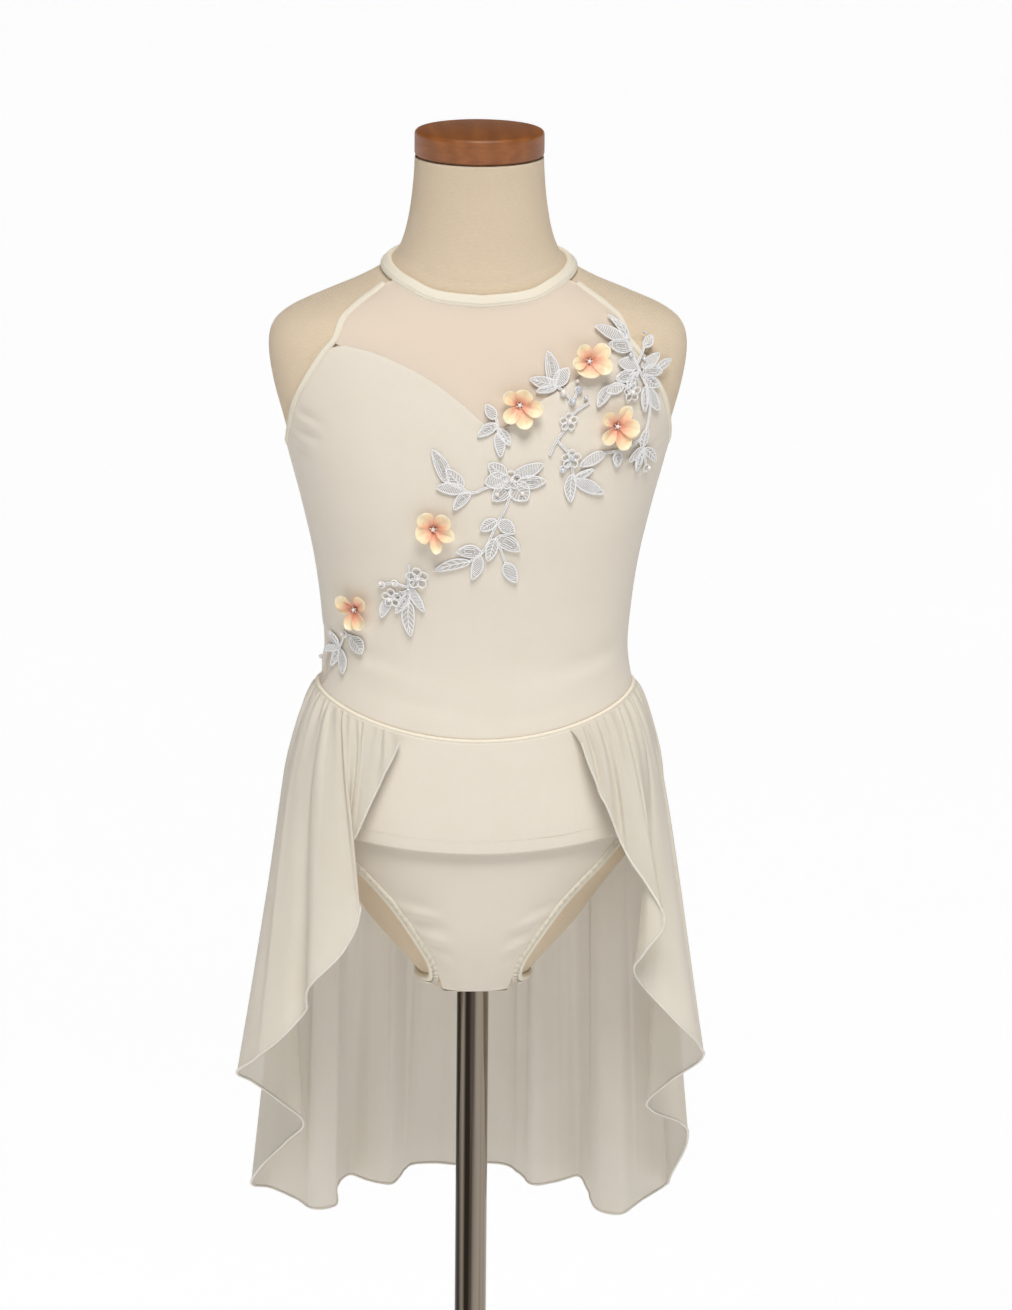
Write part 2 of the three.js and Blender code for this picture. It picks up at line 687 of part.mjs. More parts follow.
function armholeSide(from, to, count) {
  return straight({ turn: from, height: 0 }, { turn: to, height: 0 }, count).map(({ turn }) =>
    spotOn(armholeLow, "turn", turn),
  );
}

// The oval edge of the inset at some angles, grown by a distance; half a degree is about a millimetre there.
function insetArc(angles, grow) {
  return angles.map((angle) => ({
    turn: inset.turn + (inset.halfTurn + grow / 2) * Math.cos(angle * degree),
    height: inset.height + (inset.halfHeight + grow) * Math.sin(angle * degree),
  }));
}

// The angles of the spots on the inset's edge: up its side, from a millimetre over the seam, and its top.
const insetDrop = inset.height - waistHeight(inset.turn) - waistEdge - 1;
const insetFoot = -Math.asin(insetDrop / inset.halfHeight) / degree;
const insetSide = [insetFoot, insetFoot / 2, 0, 25];
const insetRise = [45, 68, 90];
const insetTop = [25, ...insetRise, 112, 135, 155];
const insetQuarter = [...insetSide, ...insetRise];
const otherWay = (angles) => angles.map((angle) => 180 - angle);

// A panel's side that runs round the inset and then up the side seam to a top spot.
const seamHeights = [932, 960, 990, 1016];

function notchedSide(arc, top) {
  arc[arc.length - 1].turn = top.turn;
  return [...arc, ...seamHeights.map((height) => ({ turn: top.turn, height })), top];
}

// The other side of that panel, with its spots spread in the same way.
function plainSide(turn, top, notched) {
  const foot = waistHeight(turn) + waistEdge;
  const first = notched[0].height;
  const last = notched[notched.length - 1].height;
  return notched.map(({ height }) => ({ turn, height: mix(foot, top, (height - first) / (last - first)) }));
}

const necklineColumns = 16;
const neckline = sampled(sweetheart, necklineColumns);

function makeBodiceFront() {
  const side = sideSeam - sideSeamHalf;
  const low = armholeSide(armholeLow[0].turn + 0.3, side, 6);
  const top = [...mirrored(low), ...beside(neckline, -seamGap / 2).slice(1, -1), ...low];
  const left = notchedSide(insetArc(insetQuarter, seamGap / 2), top[0]);
  const right = plainSide(side, top[0].height, left);
  const bottom = waistLine(left[0].turn, side, top.length - 1, waistEdge);
  left[0].height = bottom[0].height;
  add("bodice_front", panel(bottom, top, left, right, clothInner, clothOuter), colours.spandex, 0.6);
}

function makeBodiceBack() {
  const side = sideSeam + sideSeamHalf;
  const underArm = besideArmhole.slice(20);
  const across = straight({ turn: side, height: 0 }, { turn: 179.9, height: 0 }, 8);
  const half = across.map(({ turn }) => spotOn(underArm, "turn", turn));
  const otherHalf = half.map(({ turn, height }) => ({ turn: 360 - turn, height })).reverse();
  const top = [...half, ...otherHalf.slice(1)];
  const arc = insetArc(otherWay(insetQuarter), seamGap / 2);
  for (const spot of arc) spot.turn += 360;
  const right = notchedSide(arc, top[top.length - 1]);
  const left = plainSide(side, top[0].height, right);
  const bottom = waistLine(side, right[0].turn, top.length - 1, waistEdge);
  right[0].height = bottom[bottom.length - 1].height;
  add("bodice_back", panel(bottom, top, left, right, clothInner, clothOuter), colours.spandex, 0.6);
}

function makeWaistInset() {
  const left = insetArc(otherWay(insetSide), -seamGap / 2);
  const right = insetArc(insetSide, -seamGap / 2);
  const top = insetArc(otherWay(insetTop), -seamGap / 2);
  const bottom = waistLine(left[0].turn, right[0].turn, top.length - 1, waistEdge);
  left[0].height = bottom[0].height;
  right[0].height = bottom[bottom.length - 1].height;
  add("waist_mesh_inset", panel(bottom, top, left, right, clothInner, clothOuter), colours.mesh, 0.8);
}

// The yoke fills the space between the neckline, the neck band and the two armholes.
function makeYoke() {
  const rows = 6;
  const bottom = beside(neckline, seamGap / 2);
  const ends = [-yokeTopTurn, yokeTopTurn].map((turn) => ({ turn, height: 0 }));
  const top = straight(...ends, necklineColumns).map(({ turn }) => spotOn(besideNeck, "turn", turn));
  const foot = bottom[necklineColumns];
  const head = top[necklineColumns];
  const between = straight(foot, head, rows).slice(1, rows);
  const right = [foot, ...between.map(({ height }) => spotOn(armholeHigh, "height", height)), head];
  const left = right.map(({ turn, height }) => ({ turn: -turn, height }));
  add("yoke_mesh", panel(bottom, top, left, right, clothInner, clothOuter), colours.mesh, 0.8);
}

// The brief, in front and behind, and the gusset between the legs.
const briefFoot = 648;
const gussetCorner = 30; // degrees from the centre, in front and behind
const legFoot = 660; // the brief's edge leaves the leg binding here for the gusset
const briefSide = [803.4, 820, 842]; // heights on the side seam, from the leg binding's edge

// One face of the brief. A spot's mirror image is at twoCentres less its own angle.
function makeBriefFace(name, side, corner, leg, twoCentres) {
  const columns = 12;
  const heights = [...briefSide, waistHeight(sideSeam) - waistEdge];
  const seam = heights.map((height) => ({ turn: side, height }));
  const right = [{ turn: corner, height: briefFoot }, ...leg, ...seam];
  const left = right.map(({ turn, height }) => ({ turn: twoCentres - turn, height }));
  const bottom = straight(left[0], right[0], columns);
  const top = waistLine(twoCentres - side, side, columns, -waistEdge);
  add(name, panel(bottom, top, left, right, clothInner, clothOuter), colours.spandex, 0.6);
}

function makeBrief() {
  const leg = besideLeg.filter(({ height }) => height > legFoot).sort((a, b) => a.height - b.height);
  const front = leg.filter(({ turn }) => turn < sideSeam - 2);
  const back = leg.filter(({ turn }) => turn > sideSeam + 2);
  makeBriefFace("brief_front", sideSeam - sideSeamHalf, gussetCorner, front, 0);
  makeBriefFace("brief_back", sideSeam + sideSeamHalf, 180 - gussetCorner, back, 360);

  const outline = new THREE.Shape();
  outline.moveTo(-gussetHalfWidth, -gussetHalfLength);
  outline.lineTo(gussetHalfWidth, -gussetHalfLength);
  outline.lineTo(gussetHalfWidth, gussetHalfLength);
  outline.lineTo(-gussetHalfWidth, gussetHalfLength);
  const hole = new THREE.Path();
  hole.absarc(0, 0, poleRadius + 1, 0, 2 * Math.PI);
  outline.holes.push(hole);
  const gusset = new THREE.ExtrudeGeometry(outline, {
    depth: clothOuter - clothInner,
    bevelEnabled: false,
    curveSegments: 10,
  });
  gusset.translate(0, 0, formBottom - clothOuter + seamGap);
  add("gusset", gusset, colours.spandex, 0.6);
}

// The hip panel hangs from the waist seam and stands off the brief at its hem.
function hipHem(turn) {
  return 759 + 16 * Math.sin(turn * degree) ** 2;
}

function makeHipPanel() {
  const side = sideSeam - 3;
  const columns = 18;
  const top = waistLine(-side, side, columns, -waistEdge);
  const bottom = top.map(({ turn }) => ({ turn, height: hipHem(turn) }));
  const rows = 5;
  const left = straight(bottom[0], top[0], rows);
  const right = straight(bottom[columns], top[columns], rows);
  const inner = (v) => hipPanelInner + hipPanelStandOff * (1 - v) ** 2;
  add(
    "hip_panel",
    panel(bottom, top, left, right, inner, (v) => inner(v) + hipPanelWall),
    colours.spandex,
    0.6,
  );
}

// The skirt's surface. fold counts along the rows of its table, and share runs from the waist seam, 0, to the
// hem, 1. It leaves the seam in a bell, and its folds open on the way down.
const skirtCurve = new THREE.CatmullRomCurve3(
  skirtFolds.map(({ x, y, z }) => new THREE.Vector3(x, y, z)),
  false,
  "centripetal",
);
const lastFold = skirtFolds.length - 1;
const seamAt = smooth(skirtFolds.map(({ seam }, fold) => ({ fold, seam })), "fold", "seam");
const bellDrop = 36; // the skirt turns down over this height
const bellShare = 0.5;
const fullDrop = 400;
const foldOpening = 1.3; // the folds open slowly under the seam and faster near the hem
const foldReach = 3; // folds on each side that the plain hem is the mean of

const hemAt = (fold) => skirtCurve.getPoint(Math.min(Math.max(fold / lastFold, 0), 1));
const bell = (drop) => (1 - bellShare) * (drop / fullDrop) + bellShare * (1 - Math.exp(-drop / bellDrop));

// The hem without its folds: the mean of the hem over a few folds on each side.
function plainHemAt(fold) {
  const reach = Math.min(foldReach, fold, lastFold - fold);
  const mean = new THREE.Vector3();
  for (let k = -foldReach; k <= foldReach; k += 1) mean.add(hemAt(fold + (k * reach) / foldReach));
  return mean.divideScalar(2 * foldReach + 1);
}

function skirtPoint(fold, share) {
  const seam = seamAt(fold);
  const top = offSkin(seam, waistHeight(seam) - waistEdge, skirtInner + skirtWall / 2);
  const hem = hemAt(fold);
  const plain = plainHemAt(fold);
  const drop = top.z - hem.z;
  const out = bell(drop * share) / bell(drop);
  const open = share ** foldOpening;
  const x = top.x + (plain.x - top.x) * out + (hem.x - plain.x) * open;
  const y = top.y + (plain.y - top.y) * out + (hem.y - plain.y) * open;
  return overHips(new THREE.Vector3(x, y, top.z - drop * share), drop * share);
}

// A point of the skirt moved out where it would pass through the hips or the hip panel.
const hipClearance = { seam: 6, full: 10, drop: 50, blend: 5 };

function overHips(point, drop) {
  if (point.z < formBottom) return point;
  const power = squareAt(point.z);
  const depth = point.y < 0 ? frontAt(point.z) : backAt(point.z);
  const reach = Math.hypot(point.x, point.y);
  const across = Math.abs(point.x / reach / halfAt(point.z)) ** power;
  const ahead = Math.abs(point.y / reach / depth) ** power;
  const settled = Math.min(drop / hipClearance.drop, 1);
  const least = (across + ahead) ** (-1 / power) + mix(hipClearance.seam, hipClearance.full, settled);
  const blend = hipClearance.blend * settled + 0.01;
  const near = Math.max(blend - Math.abs(reach - least), 0) / blend;
  const moved = Math.max(reach, least) + (near * near * blend) / 4;
  point.x *= moved / reach;
  point.y *= moved / reach;
  return point;
}

function makeSkirt() {
  const columns = 96;
  const rows = 7;
  const place = (i, j, outside) => {
    const fold = (lastFold * i) / columns;
    const share = (j / rows) ** 1.1;
    const step = 0.04;
    const before = skirtPoint(Math.max(fold - step, 0), share);
    const round = skirtPoint(Math.min(fold + step, lastFold), share).sub(before);
    const down = skirtPoint(fold, Math.min(share + 0.01, 1)).sub(skirtPoint(fold, Math.max(share - 0.01, 0)));
    const out = round.cross(down).normalize();
    return skirtPoint(fold, share).addScaledVector(out, (outside ? 0.5 : -0.5) * skirtWall);
  };
  add("skirt", wall(columns, rows, place), colours.chiffon, 0.85);
}

// Closed geometries joined into one.
function solidOf(geometry) {
  const bare = new THREE.BufferGeometry();
  bare.setAttribute("position", geometry.getAttribute("position"));
  bare.setIndex(geometry.index);
  const merged = mergeVertices(bare, 1e-3);
  const vertProperties = merged.attributes.position.array;
  const triVerts = new Uint32Array(merged.index.array);
  return new wasm.Manifold(new wasm.Mesh({ numProp: 3, vertProperties, triVerts }));
}

function joined(geometries) {
  const { vertProperties, triVerts } = geometries
    .map(solidOf)
    .reduce((whole, more) => whole.add(more))
    .getMesh();
  return facingOut([...vertProperties], [...triVerts]);
}

// A spot moved over the surface by millimetres along and across a lean.
function moved(spot, along, across) {
  const { round, up } = skinFrame(spot.turn, spot.height);
  const lean = (spot.lean ?? 0) * degree;
  return {
    turn: spot.turn + (along * Math.cos(lean) - across * Math.sin(lean)) / round.length(),
    height: spot.height + (along * Math.sin(lean) + across * Math.cos(lean)) / up.length(),
  };
}

// A padded piece on the body from the outline of its plan, thickest at its middle.
function pad(outline, middle, lift) {
  const count = outline.length;
  const at = (spot, off) => offSkin(spot.turn, spot.height, off).toArray();
  const positions = [
    ...outline.flatMap((spot) => at(spot, lift + laceThickness / 2)),
    ...at(middle, lift),
    ...at(middle, lift + laceThickness),
  ];
  const index = [];
  for (let i = 0; i < count; i += 1) {
    const next = (i + 1) % count;
    index.push(next, i, count, i, next, count + 1);
  }
  return facingOut(positions, index);
}

const leafEdge = [
  { along: 0, half: 0.12 },
  { along: 0.3, half: 0.46 },
  { along: 0.7, half: 0.44 },
  { along: 1, half: 0 },
];

function leafPad(leaf, lift) {
  const side = (sign) =>
    leafEdge.map(({ along, half }) => moved(leaf, leaf.length * along, sign * leaf.width * half));
  const outline = [...side(-1), ...side(1).slice(0, -1).reverse()];
  return pad(outline, moved(leaf, leaf.length * 0.5, 0), lift);
}

function roundPad(spot, lift) {
  const outline = Array.from({ length: 6 }, (_, i) => {
    const angle = (i * Math.PI) / 3;
    return moved(spot, (spot.across / 2) * Math.cos(angle), (spot.across / 2) * Math.sin(angle));
  });
  return pad(outline, spot, lift);
}

function makeLace() {
  for (const [name, { lift, leaves, stems, rounds }] of Object.entries(laceSprays)) {
    const pieces = [
      ...leaves.map((leaf) => leafPad(leaf, lift)),
      ...rounds.map((spot) => roundPad(spot, lift)),
      ...stems.map((route) => {
        const line = route.map(([turn, height]) => ({ turn, height }));
        return strip(line, stemWidth, lift + stemSink, lift + laceThickness - stemSink, false, [1, 1]);
      }),
    ];
    add(`lace_${name}`, joined(pieces), colours.lace, 0.7);
  }
}

// A flower of cupped petals round a button that sits on the cloth.
const petalCount = 5;
const petalWall = 1;
const petalFoot = 1.5; // from the flower's centre to where a petal starts
const petalRise = 0.26; // for each millimetre of the way out
const petalCup = 0.9; // a petal's sides stand this much over its middle
const petalStep = 0.25; // each petal lies this much over the one before
const petalWidest = 0.55; // of the way out
const petalHalf = 0.43; // half its width there, for each millimetre of the flower's reach
const buttonRadius = 4;
const buttonHeight = 5;

function makeFlower({ name, turn, height, across, spin }) {
  const { round, out } = skinFrame(turn, height);
  const right = round.normalize();
  const upward = new THREE.Vector3().crossVectors(out, right);
  const frame = new THREE.Matrix4().makeBasis(right, upward, out);
  frame.setPosition(offSkin(turn, height, clothOuter + seamGap));
  const reach = across / 2;
  const pieces = Array.from({ length: petalCount }, (_, k) => {
    const angle = (spin + (360 * k) / petalCount) * degree;
    const place = (i, j, outside) => {
      const way = j / 3;
      const side = i - 1;
      const half = reach * petalHalf * Math.sqrt(Math.max(1 - ((way - petalWidest) / 0.56) ** 2, 0.03));
      const along = mix(petalFoot, reach, way);
      const cup = petalCup * side * side + petalStep * k;
      return new THREE.Vector3(
        along * Math.cos(angle) - side * half * Math.sin(angle),
        along * Math.sin(angle) + side * half * Math.cos(angle),
        1 + petalRise * along + cup + (outside ? petalWall : 0),
      );
    };
    return wall(2, 3, place);
  });
  const button = new THREE.CylinderGeometry(buttonRadius * 0.6, buttonRadius, buttonHeight, 6);
  button.rotateX(Math.PI / 2);
  button.translate(0, 0, buttonHeight / 2);
  add(name, joined([...pieces, button]).applyMatrix4(frame), colours.petal, 0.8);
}

makeForm();
makeStand();
makeTrims();
makeBodiceFront();
makeBodiceBack();
makeWaistInset();
makeYoke();
makeBrief();
makeHipPanel();
makeSkirt();
makeLace();
flowers.forEach(makeFlower);

export default group;
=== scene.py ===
# The look of a child's lyrical dance costume on a limbless torso form.
# Tables are in millimetres and degrees, in the part's frame. turn is the angle round the body from the front
# centre, and height is over the floor. Meshes are turned into metres where they are made.
import math

import bpy
import numpy as np
from mathutils import Matrix, Vector


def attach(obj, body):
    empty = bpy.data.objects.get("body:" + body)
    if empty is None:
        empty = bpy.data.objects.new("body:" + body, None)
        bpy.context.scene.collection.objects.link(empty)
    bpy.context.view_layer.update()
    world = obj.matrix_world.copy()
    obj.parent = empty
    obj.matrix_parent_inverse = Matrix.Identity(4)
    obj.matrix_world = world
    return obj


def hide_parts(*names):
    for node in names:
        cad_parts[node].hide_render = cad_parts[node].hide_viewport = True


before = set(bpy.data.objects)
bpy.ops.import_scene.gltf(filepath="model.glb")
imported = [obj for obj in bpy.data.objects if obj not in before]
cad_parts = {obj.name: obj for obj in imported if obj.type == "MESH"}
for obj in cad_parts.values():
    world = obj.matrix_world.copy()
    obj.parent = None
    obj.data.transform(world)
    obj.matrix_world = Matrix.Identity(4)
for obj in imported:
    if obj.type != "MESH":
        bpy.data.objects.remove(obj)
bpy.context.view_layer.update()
mm = 0.001
degree = math.pi / 180


def stage(message):
    print("scene:", message, flush=True)


def table(names, *rows):
    return dict(zip(names.split(), np.array(rows, float).T))


torso = table(
    "height half front back square",
    (645, 34, 38, 38, 2.2),
    (665, 51, 50, 54, 2.2),
    (690, 73, 61, 70, 2.2),
    (720, 95, 70, 84, 2.25),
    (750, 117, 77, 91, 2.3),
    (780, 125, 80, 90, 2.3),
    (820, 121, 79, 80, 2.25),
    (860, 112, 75, 66, 2.2),
    (890, 107, 73, 60, 2.2),
    (920, 108.5, 75, 62, 2.25),
    (960, 114, 80, 69, 2.3),
    (1000, 123, 85, 77, 2.35),
    (1030, 131, 85, 81, 2.4),
    (1060, 139, 83, 82, 2.4),
    (1090, 147, 78, 80, 2.35),
    (1115, 150, 72, 76, 2.35),
    (1130, 146, 68, 72, 2.3),
    (1140, 134, 65, 69, 2.25),
    (1150, 112, 62, 65, 2.2),
    (1160, 88, 59, 61, 2.15),
    (1170, 70, 57, 57, 2.1),
    (1180, 59.5, 55, 54, 2.1),
    (1192, 54, 53, 52, 2.1),
    (1210, 50, 50, 50, 2.05),
    (1232, 47.5, 47, 48, 2),
    (1250, 46.5, 46, 47, 2),
)


# A smooth curve through a table's rows: key as a function of along.
def smooth(rows, along, key):
    x, y = rows[along], rows[key]
    if x[0] > x[-1]:
        x, y = x[::-1], y[::-1]
    last = len(x) - 1
    before = np.maximum(np.arange(last + 1) - 1, 0)
    after = np.minimum(np.arange(last + 1) + 1, last)
    slopes = (y[after] - y[before]) / (x[after] - x[before])

    def at(value):
        i = np.clip(np.searchsorted(x, value) - 1, 0, last - 1)
        span = x[i + 1] - x[i]
        s = np.clip((value - x[i]) / span, 0, 1)
        rise = s * s * (3 - 2 * s)
        bend = span * s * (1 - s) * ((1 - s) * slopes[i] - s * slopes[i + 1])
        return y[i] * (1 - rise) + y[i + 1] * rise + bend

    return at


halfAt = smooth(torso, "height", "half")
frontAt = smooth(torso, "height", "front")
backAt = smooth(torso, "height", "back")
squareAt = smooth(torso, "height", "square")


def skin(turn, height):
    turn, height = np.broadcast_arrays(np.asarray(turn, float), np.asarray(height, float))
    side, ahead = np.sin(turn * degree), np.cos(turn * degree)
    power = squareAt(height)
    reach = (np.abs(side) ** power + np.abs(ahead) ** power) ** (-1 / power)
    depth = np.where(ahead >= 0, frontAt(height), backAt(height))
    return np.stack([halfAt(height) * side * reach, -depth * ahead * reach, height], -1)


def unit(vectors):
    return vectors / np.maximum(np.linalg.norm(vectors, axis=-1, keepdims=True), 1e-9)


# The ways round and up the surface, per degree and per millimetre of height, and the way out.
def skinFrame(turn, height):
    turn, height = np.asarray(turn, float), np.asarray(height, float)
    around = (skin(turn + 0.1, height) - skin(turn - 0.1, height)) * 5
    up = skin(turn, height + 0.5) - skin(turn, height - 0.5)
    return around, up, unit(np.cross(around, up))


def offSkin(turn, height, out):
    return skin(turn, height) + skinFrame(turn, height)[2] * np.asarray(out)[..., None]


# A centripetal Catmull-Rom curve through points, as a function of the row that is counted to.
def curveThrough(points, closed=False):
    points = np.asarray(points, float)
    count = len(points)

    def corner(k):
        if closed:
            return points[k % count]
        inside = points[np.clip(k, 0, count - 1)]
        first, end = 2 * points[0] - points[1], 2 * points[-1] - points[-2]
        return np.where((k < 0)[:, None], first, np.where((k > count - 1)[:, None], end, inside))

    def at(row):
        row = np.atleast_1d(np.asarray(row, float))
        i = np.floor(row).astype(int)
        if not closed:
            i = np.clip(i, 0, count - 2)
        w = (row - i)[:, None]
        a, b, c, d = (corner(i + k) for k in (-1, 0, 1, 2))
        ab, bc, cd = (np.sqrt(np.linalg.norm(q - p, axis=1))[:, None] for p, q in ((a, b), (b, c), (c, d)))
        bc = np.where(bc < 1e-4, 1, bc)
        ab = np.where(ab < 1e-4, bc, ab)
        cd = np.where(cd < 1e-4, bc, cd)
        s = ((b - a) / ab - (c - a) / (ab + bc) + (c - b) / bc) * bc
        e = ((c - b) / bc - (d - b) / (bc + cd) + (d - c) / cd) * bc
        return b + s * w + (-3 * b + 3 * c - 2 * s - e) * w ** 2 + (2 * b - 2 * c + s + e) * w ** 3

    return at


# A line of (turn, height) rows, sampled evenly in its rows.
def sampled(rows, count, closed=False):
    rows = np.asarray(rows, float)
    spans = len(rows) if closed else len(rows) - 1
    places = np.arange(count) * spans / count if closed else np.linspace(0, spans, count)
    return curveThrough(rows, closed)(places)


# A line moved sideways over the surface, to its left as it runs.
def beside(line, distance):
    before = np.vstack([line[:1], line[:-1]])
    after = np.vstack([line[1:], line[-1:]])
    along = unit(skin(*after.T) - skin(*before.T))
    around, up, out = skinFrame(*line.T)
    way = unit(np.cross(out, along)) * distance
    aa, au, uu = (around ** 2).sum(1), (around * up).sum(1), (up ** 2).sum(1)
    area = aa * uu - au ** 2
    wa, wu = (way * around).sum(1), (way * up).sum(1)
    return line + np.stack([(wa * uu - wu * au) / area, (wu * aa - wa * au) / area], 1)


degreeLength = 2.0  # about how many millimetres a degree is on the torso


def resample(line, count):
    steps = np.hypot(np.diff(line[:, 0]) * degreeLength, np.diff(line[:, 1]))
    at = np.concatenate([[0], np.cumsum(steps)])
    want = np.linspace(0, at[-1], count)
    return np.stack([np.interp(want, at, line[:, k]) for k in (0, 1)], 1)


# The turn and height of every point of a panel between four edges, as columns by rows.
def panelSpots(bottom, top, left, right, columns, rows):
    bottom, top = resample(bottom, columns + 1), resample(top, columns + 1)
    left, right = resample(left, rows + 1), resample(right, rows + 1)
    u = np.linspace(0, 1, columns + 1)[:, None, None]
    v = np.linspace(0, 1, rows + 1)[None, :, None]
    across = left[None] * (1 - u) + right[None] * u
    upward = bottom[:, None] * (1 - v) + top[:, None] * v
    corners = (left[0] * (1 - u) + right[0] * u) * (1 - v) + (left[-1] * (1 - u) + right[-1] * u) * v
    spots = across + upward - corners
    return spots[..., 0], spots[..., 1]


creaseEnd = 0.15  # how far a crease fades past its spots, for each length between them


# How far creases lift the cloth. Each crease runs between two spots, is width wide and rises by rise.
def creased(turn, height, creases):
    lift = np.zeros(np.shape(turn))
    for fromTurn, fromHeight, toTurn, toHeight, width, rise in creases:
        run = np.array([(toTurn - fromTurn) * degreeLength, toHeight - fromHeight])
        length = np.hypot(*run)
        dx, dy = (turn - fromTurn) * degreeLength, height - fromHeight
        along = (dx * run[0] + dy * run[1]) / length ** 2
        aside = (dx * run[1] - dy * run[0]) / length
        share = np.clip((along + creaseEnd) / (1 + 2 * creaseEnd), 0, 1)
        ends = np.maximum(np.sin(np.pi * share), 0) ** 1.5
        lift += rise * ends * np.exp(-((aside / width) ** 2))
    return lift


def colour(text):
    value = [int(text[k:k + 2], 16) / 255 for k in (0, 2, 4)]
    return [c / 12.92 if c <= 0.04045 else ((c + 0.055) / 1.055) ** 2.4 for c in value] + [1]


# Adds a node. inputs gives sockets, by name or number, a link or a value. settings are the node's own, or the
# values of sockets with those names. A Mix node of kind RGBA takes its share in socket 0 and its colours in
# sockets 6 and 7, and gives its colour in socket 2.
def addNode(tree, kind, inputs=None, **settings):
    node = tree.nodes.new(kind)
    for key, value in settings.items():
        if hasattr(node, key):
            setattr(node, key, value)
        else:
            node.inputs[key.replace("_", " ")].default_value = value
    for key, value in (inputs or {}).items():
        if isinstance(value, bpy.types.NodeSocket):
            tree.links.new(value, node.inputs[key])
        else:
            node.inputs[key].default_value = value
    return node


def newMaterial(name, base, roughness, **values):
    material = bpy.data.materials.new(name)
    material.use_nodes = True
    shader = material.node_tree.nodes["Principled BSDF"]
    shader.inputs["Base Color"].default_value = colour(base)
    shader.inputs["Roughness"].default_value = roughness
    for key, value in values.items():
        shader.inputs[key.replace("_", " ")].default_value = value
    return material, material.node_tree, shader


waveScale = 0.314  # the Scale that gives a wave texture one band for each metre


# Threads crossing over and under: two wave patterns in turn, with a pitch in metres.
def weave(tree, place, pitch, slub):
    waves = [addNode(tree, "ShaderNodeTexWave", {"Vector": place}, bands_direction=direction,
                     Scale=waveScale / pitch, Distortion=slub, Detail_Scale=0.4) for direction in "XY"]
    check = addNode(tree, "ShaderNodeTexChecker", {"Vector": place}, Scale=1 / pitch)
    turns = {0: check.outputs["Fac"], 6: waves[0].outputs["Fac"], 7: waves[1].outputs["Fac"]}
    return addNode(tree, "ShaderNodeMix", turns, data_type="RGBA").outputs[2]


# wale and course are the knit's pitches in metres, drawn coarser than real ones so that they show.
jersey = {"wale": 0.0012, "course": 0.00084, "cloud": 28, "fuzz": 1500, "relief": 0.00006}


# Ivory nylon and spandex jersey: smooth, matt and faintly clouded, with fine wales.
def makeJersey(name, base, shade):
    material, tree, shader = newMaterial(name, base, 0.75, Sheen_Weight=0.06, Sheen_Roughness=0.5)
    place = addNode(tree, "ShaderNodeAttribute", attribute_name="clothPlace").outputs["Vector"]
    source = {"Vector": place}
    cloud = addNode(tree, "ShaderNodeTexNoise", source, Scale=jersey["cloud"], Detail=4, Roughness=0.6)
    fuzz = addNode(tree, "ShaderNodeTexNoise", {"Vector": place}, Scale=jersey["fuzz"], Detail=2).outputs["Fac"]
    share = addNode(tree, "ShaderNodeMath", {0: cloud.outputs["Fac"], 1: 0.55}, operation="MULTIPLY")
    share = addNode(tree, "ShaderNodeMath", {0: fuzz, 1: 0.35, 2: share.outputs[0]}, operation="MULTIPLY_ADD")
    tints = {0: share.outputs[0], 6: colour(base), 7: colour(shade)}
    tint = addNode(tree, "ShaderNodeMix", tints, data_type="RGBA")
    tree.links.new(tint.outputs[2], shader.inputs["Base Color"])
    wale, course = (addNode(tree, "ShaderNodeTexWave", {"Vector": place}, bands_direction=direction,
                            Scale=waveScale / jersey[run]).outputs["Fac"]
                    for direction, run in (("X", "wale"), ("Y", "course")))
    relief = addNode(tree, "ShaderNodeMath", {0: course, 1: 0.5, 2: wale}, operation="MULTIPLY_ADD")
    relief = addNode(tree, "ShaderNodeMath", {0: fuzz, 1: 2.0, 2: relief.outputs[0]}, operation="MULTIPLY_ADD")
    height = {"Height": relief.outputs[0]}
    bump = addNode(tree, "ShaderNodeBump", height, Strength=0.6, Distance=jersey["relief"])
    tree.links.new(bump.outputs["Normal"], shader.inputs["Normal"])
    return material


# Sheer knitted net: raised ridges round small cells, seen as a tint over what lies under it. The cells are
# painted a little darker, as painted shade in the net's holes.
def makeNet(name, base, cover, pitch):
    material, tree, shader = newMaterial(name, base, 0.7, Alpha=cover, Sheen_Weight=0.2)
    place = addNode(tree, "ShaderNodeAttribute", attribute_name="clothPlace").outputs["Vector"]
    cells = addNode(tree, "ShaderNodeTexVoronoi", {"Vector": place}, feature="DISTANCE_TO_EDGE",
                    Scale=1 / pitch, Randomness=0.25)
    ridge = addNode(tree, "ShaderNodeMath", {0: cells.outputs["Distance"], 1: 0.16}, operation="LESS_THAN")
    # Painted shade: the cells inside the ridges take this darker colour.
    shade = [c * 0.94 for c in colour(base)[:3]] + [1]
    tint = addNode(tree, "ShaderNodeMix", {0: ridge.outputs[0], 6: shade, 7: colour(base)}, data_type="RGBA")
    tree.links.new(tint.outputs[2], shader.inputs["Base Color"])
    bump = addNode(tree, "ShaderNodeBump", {"Height": ridge.outputs[0]}, Strength=1.0, Distance=0.00004)
    tree.links.new(bump.outputs["Normal"], shader.inputs["Normal"])
    return material


chiffon = {"cover": 0.9, "pitch": 0.0004, "slub": 2.0, "pale": "ebe3d4", "deep": "e1d7c5", "relief": 0.00006}


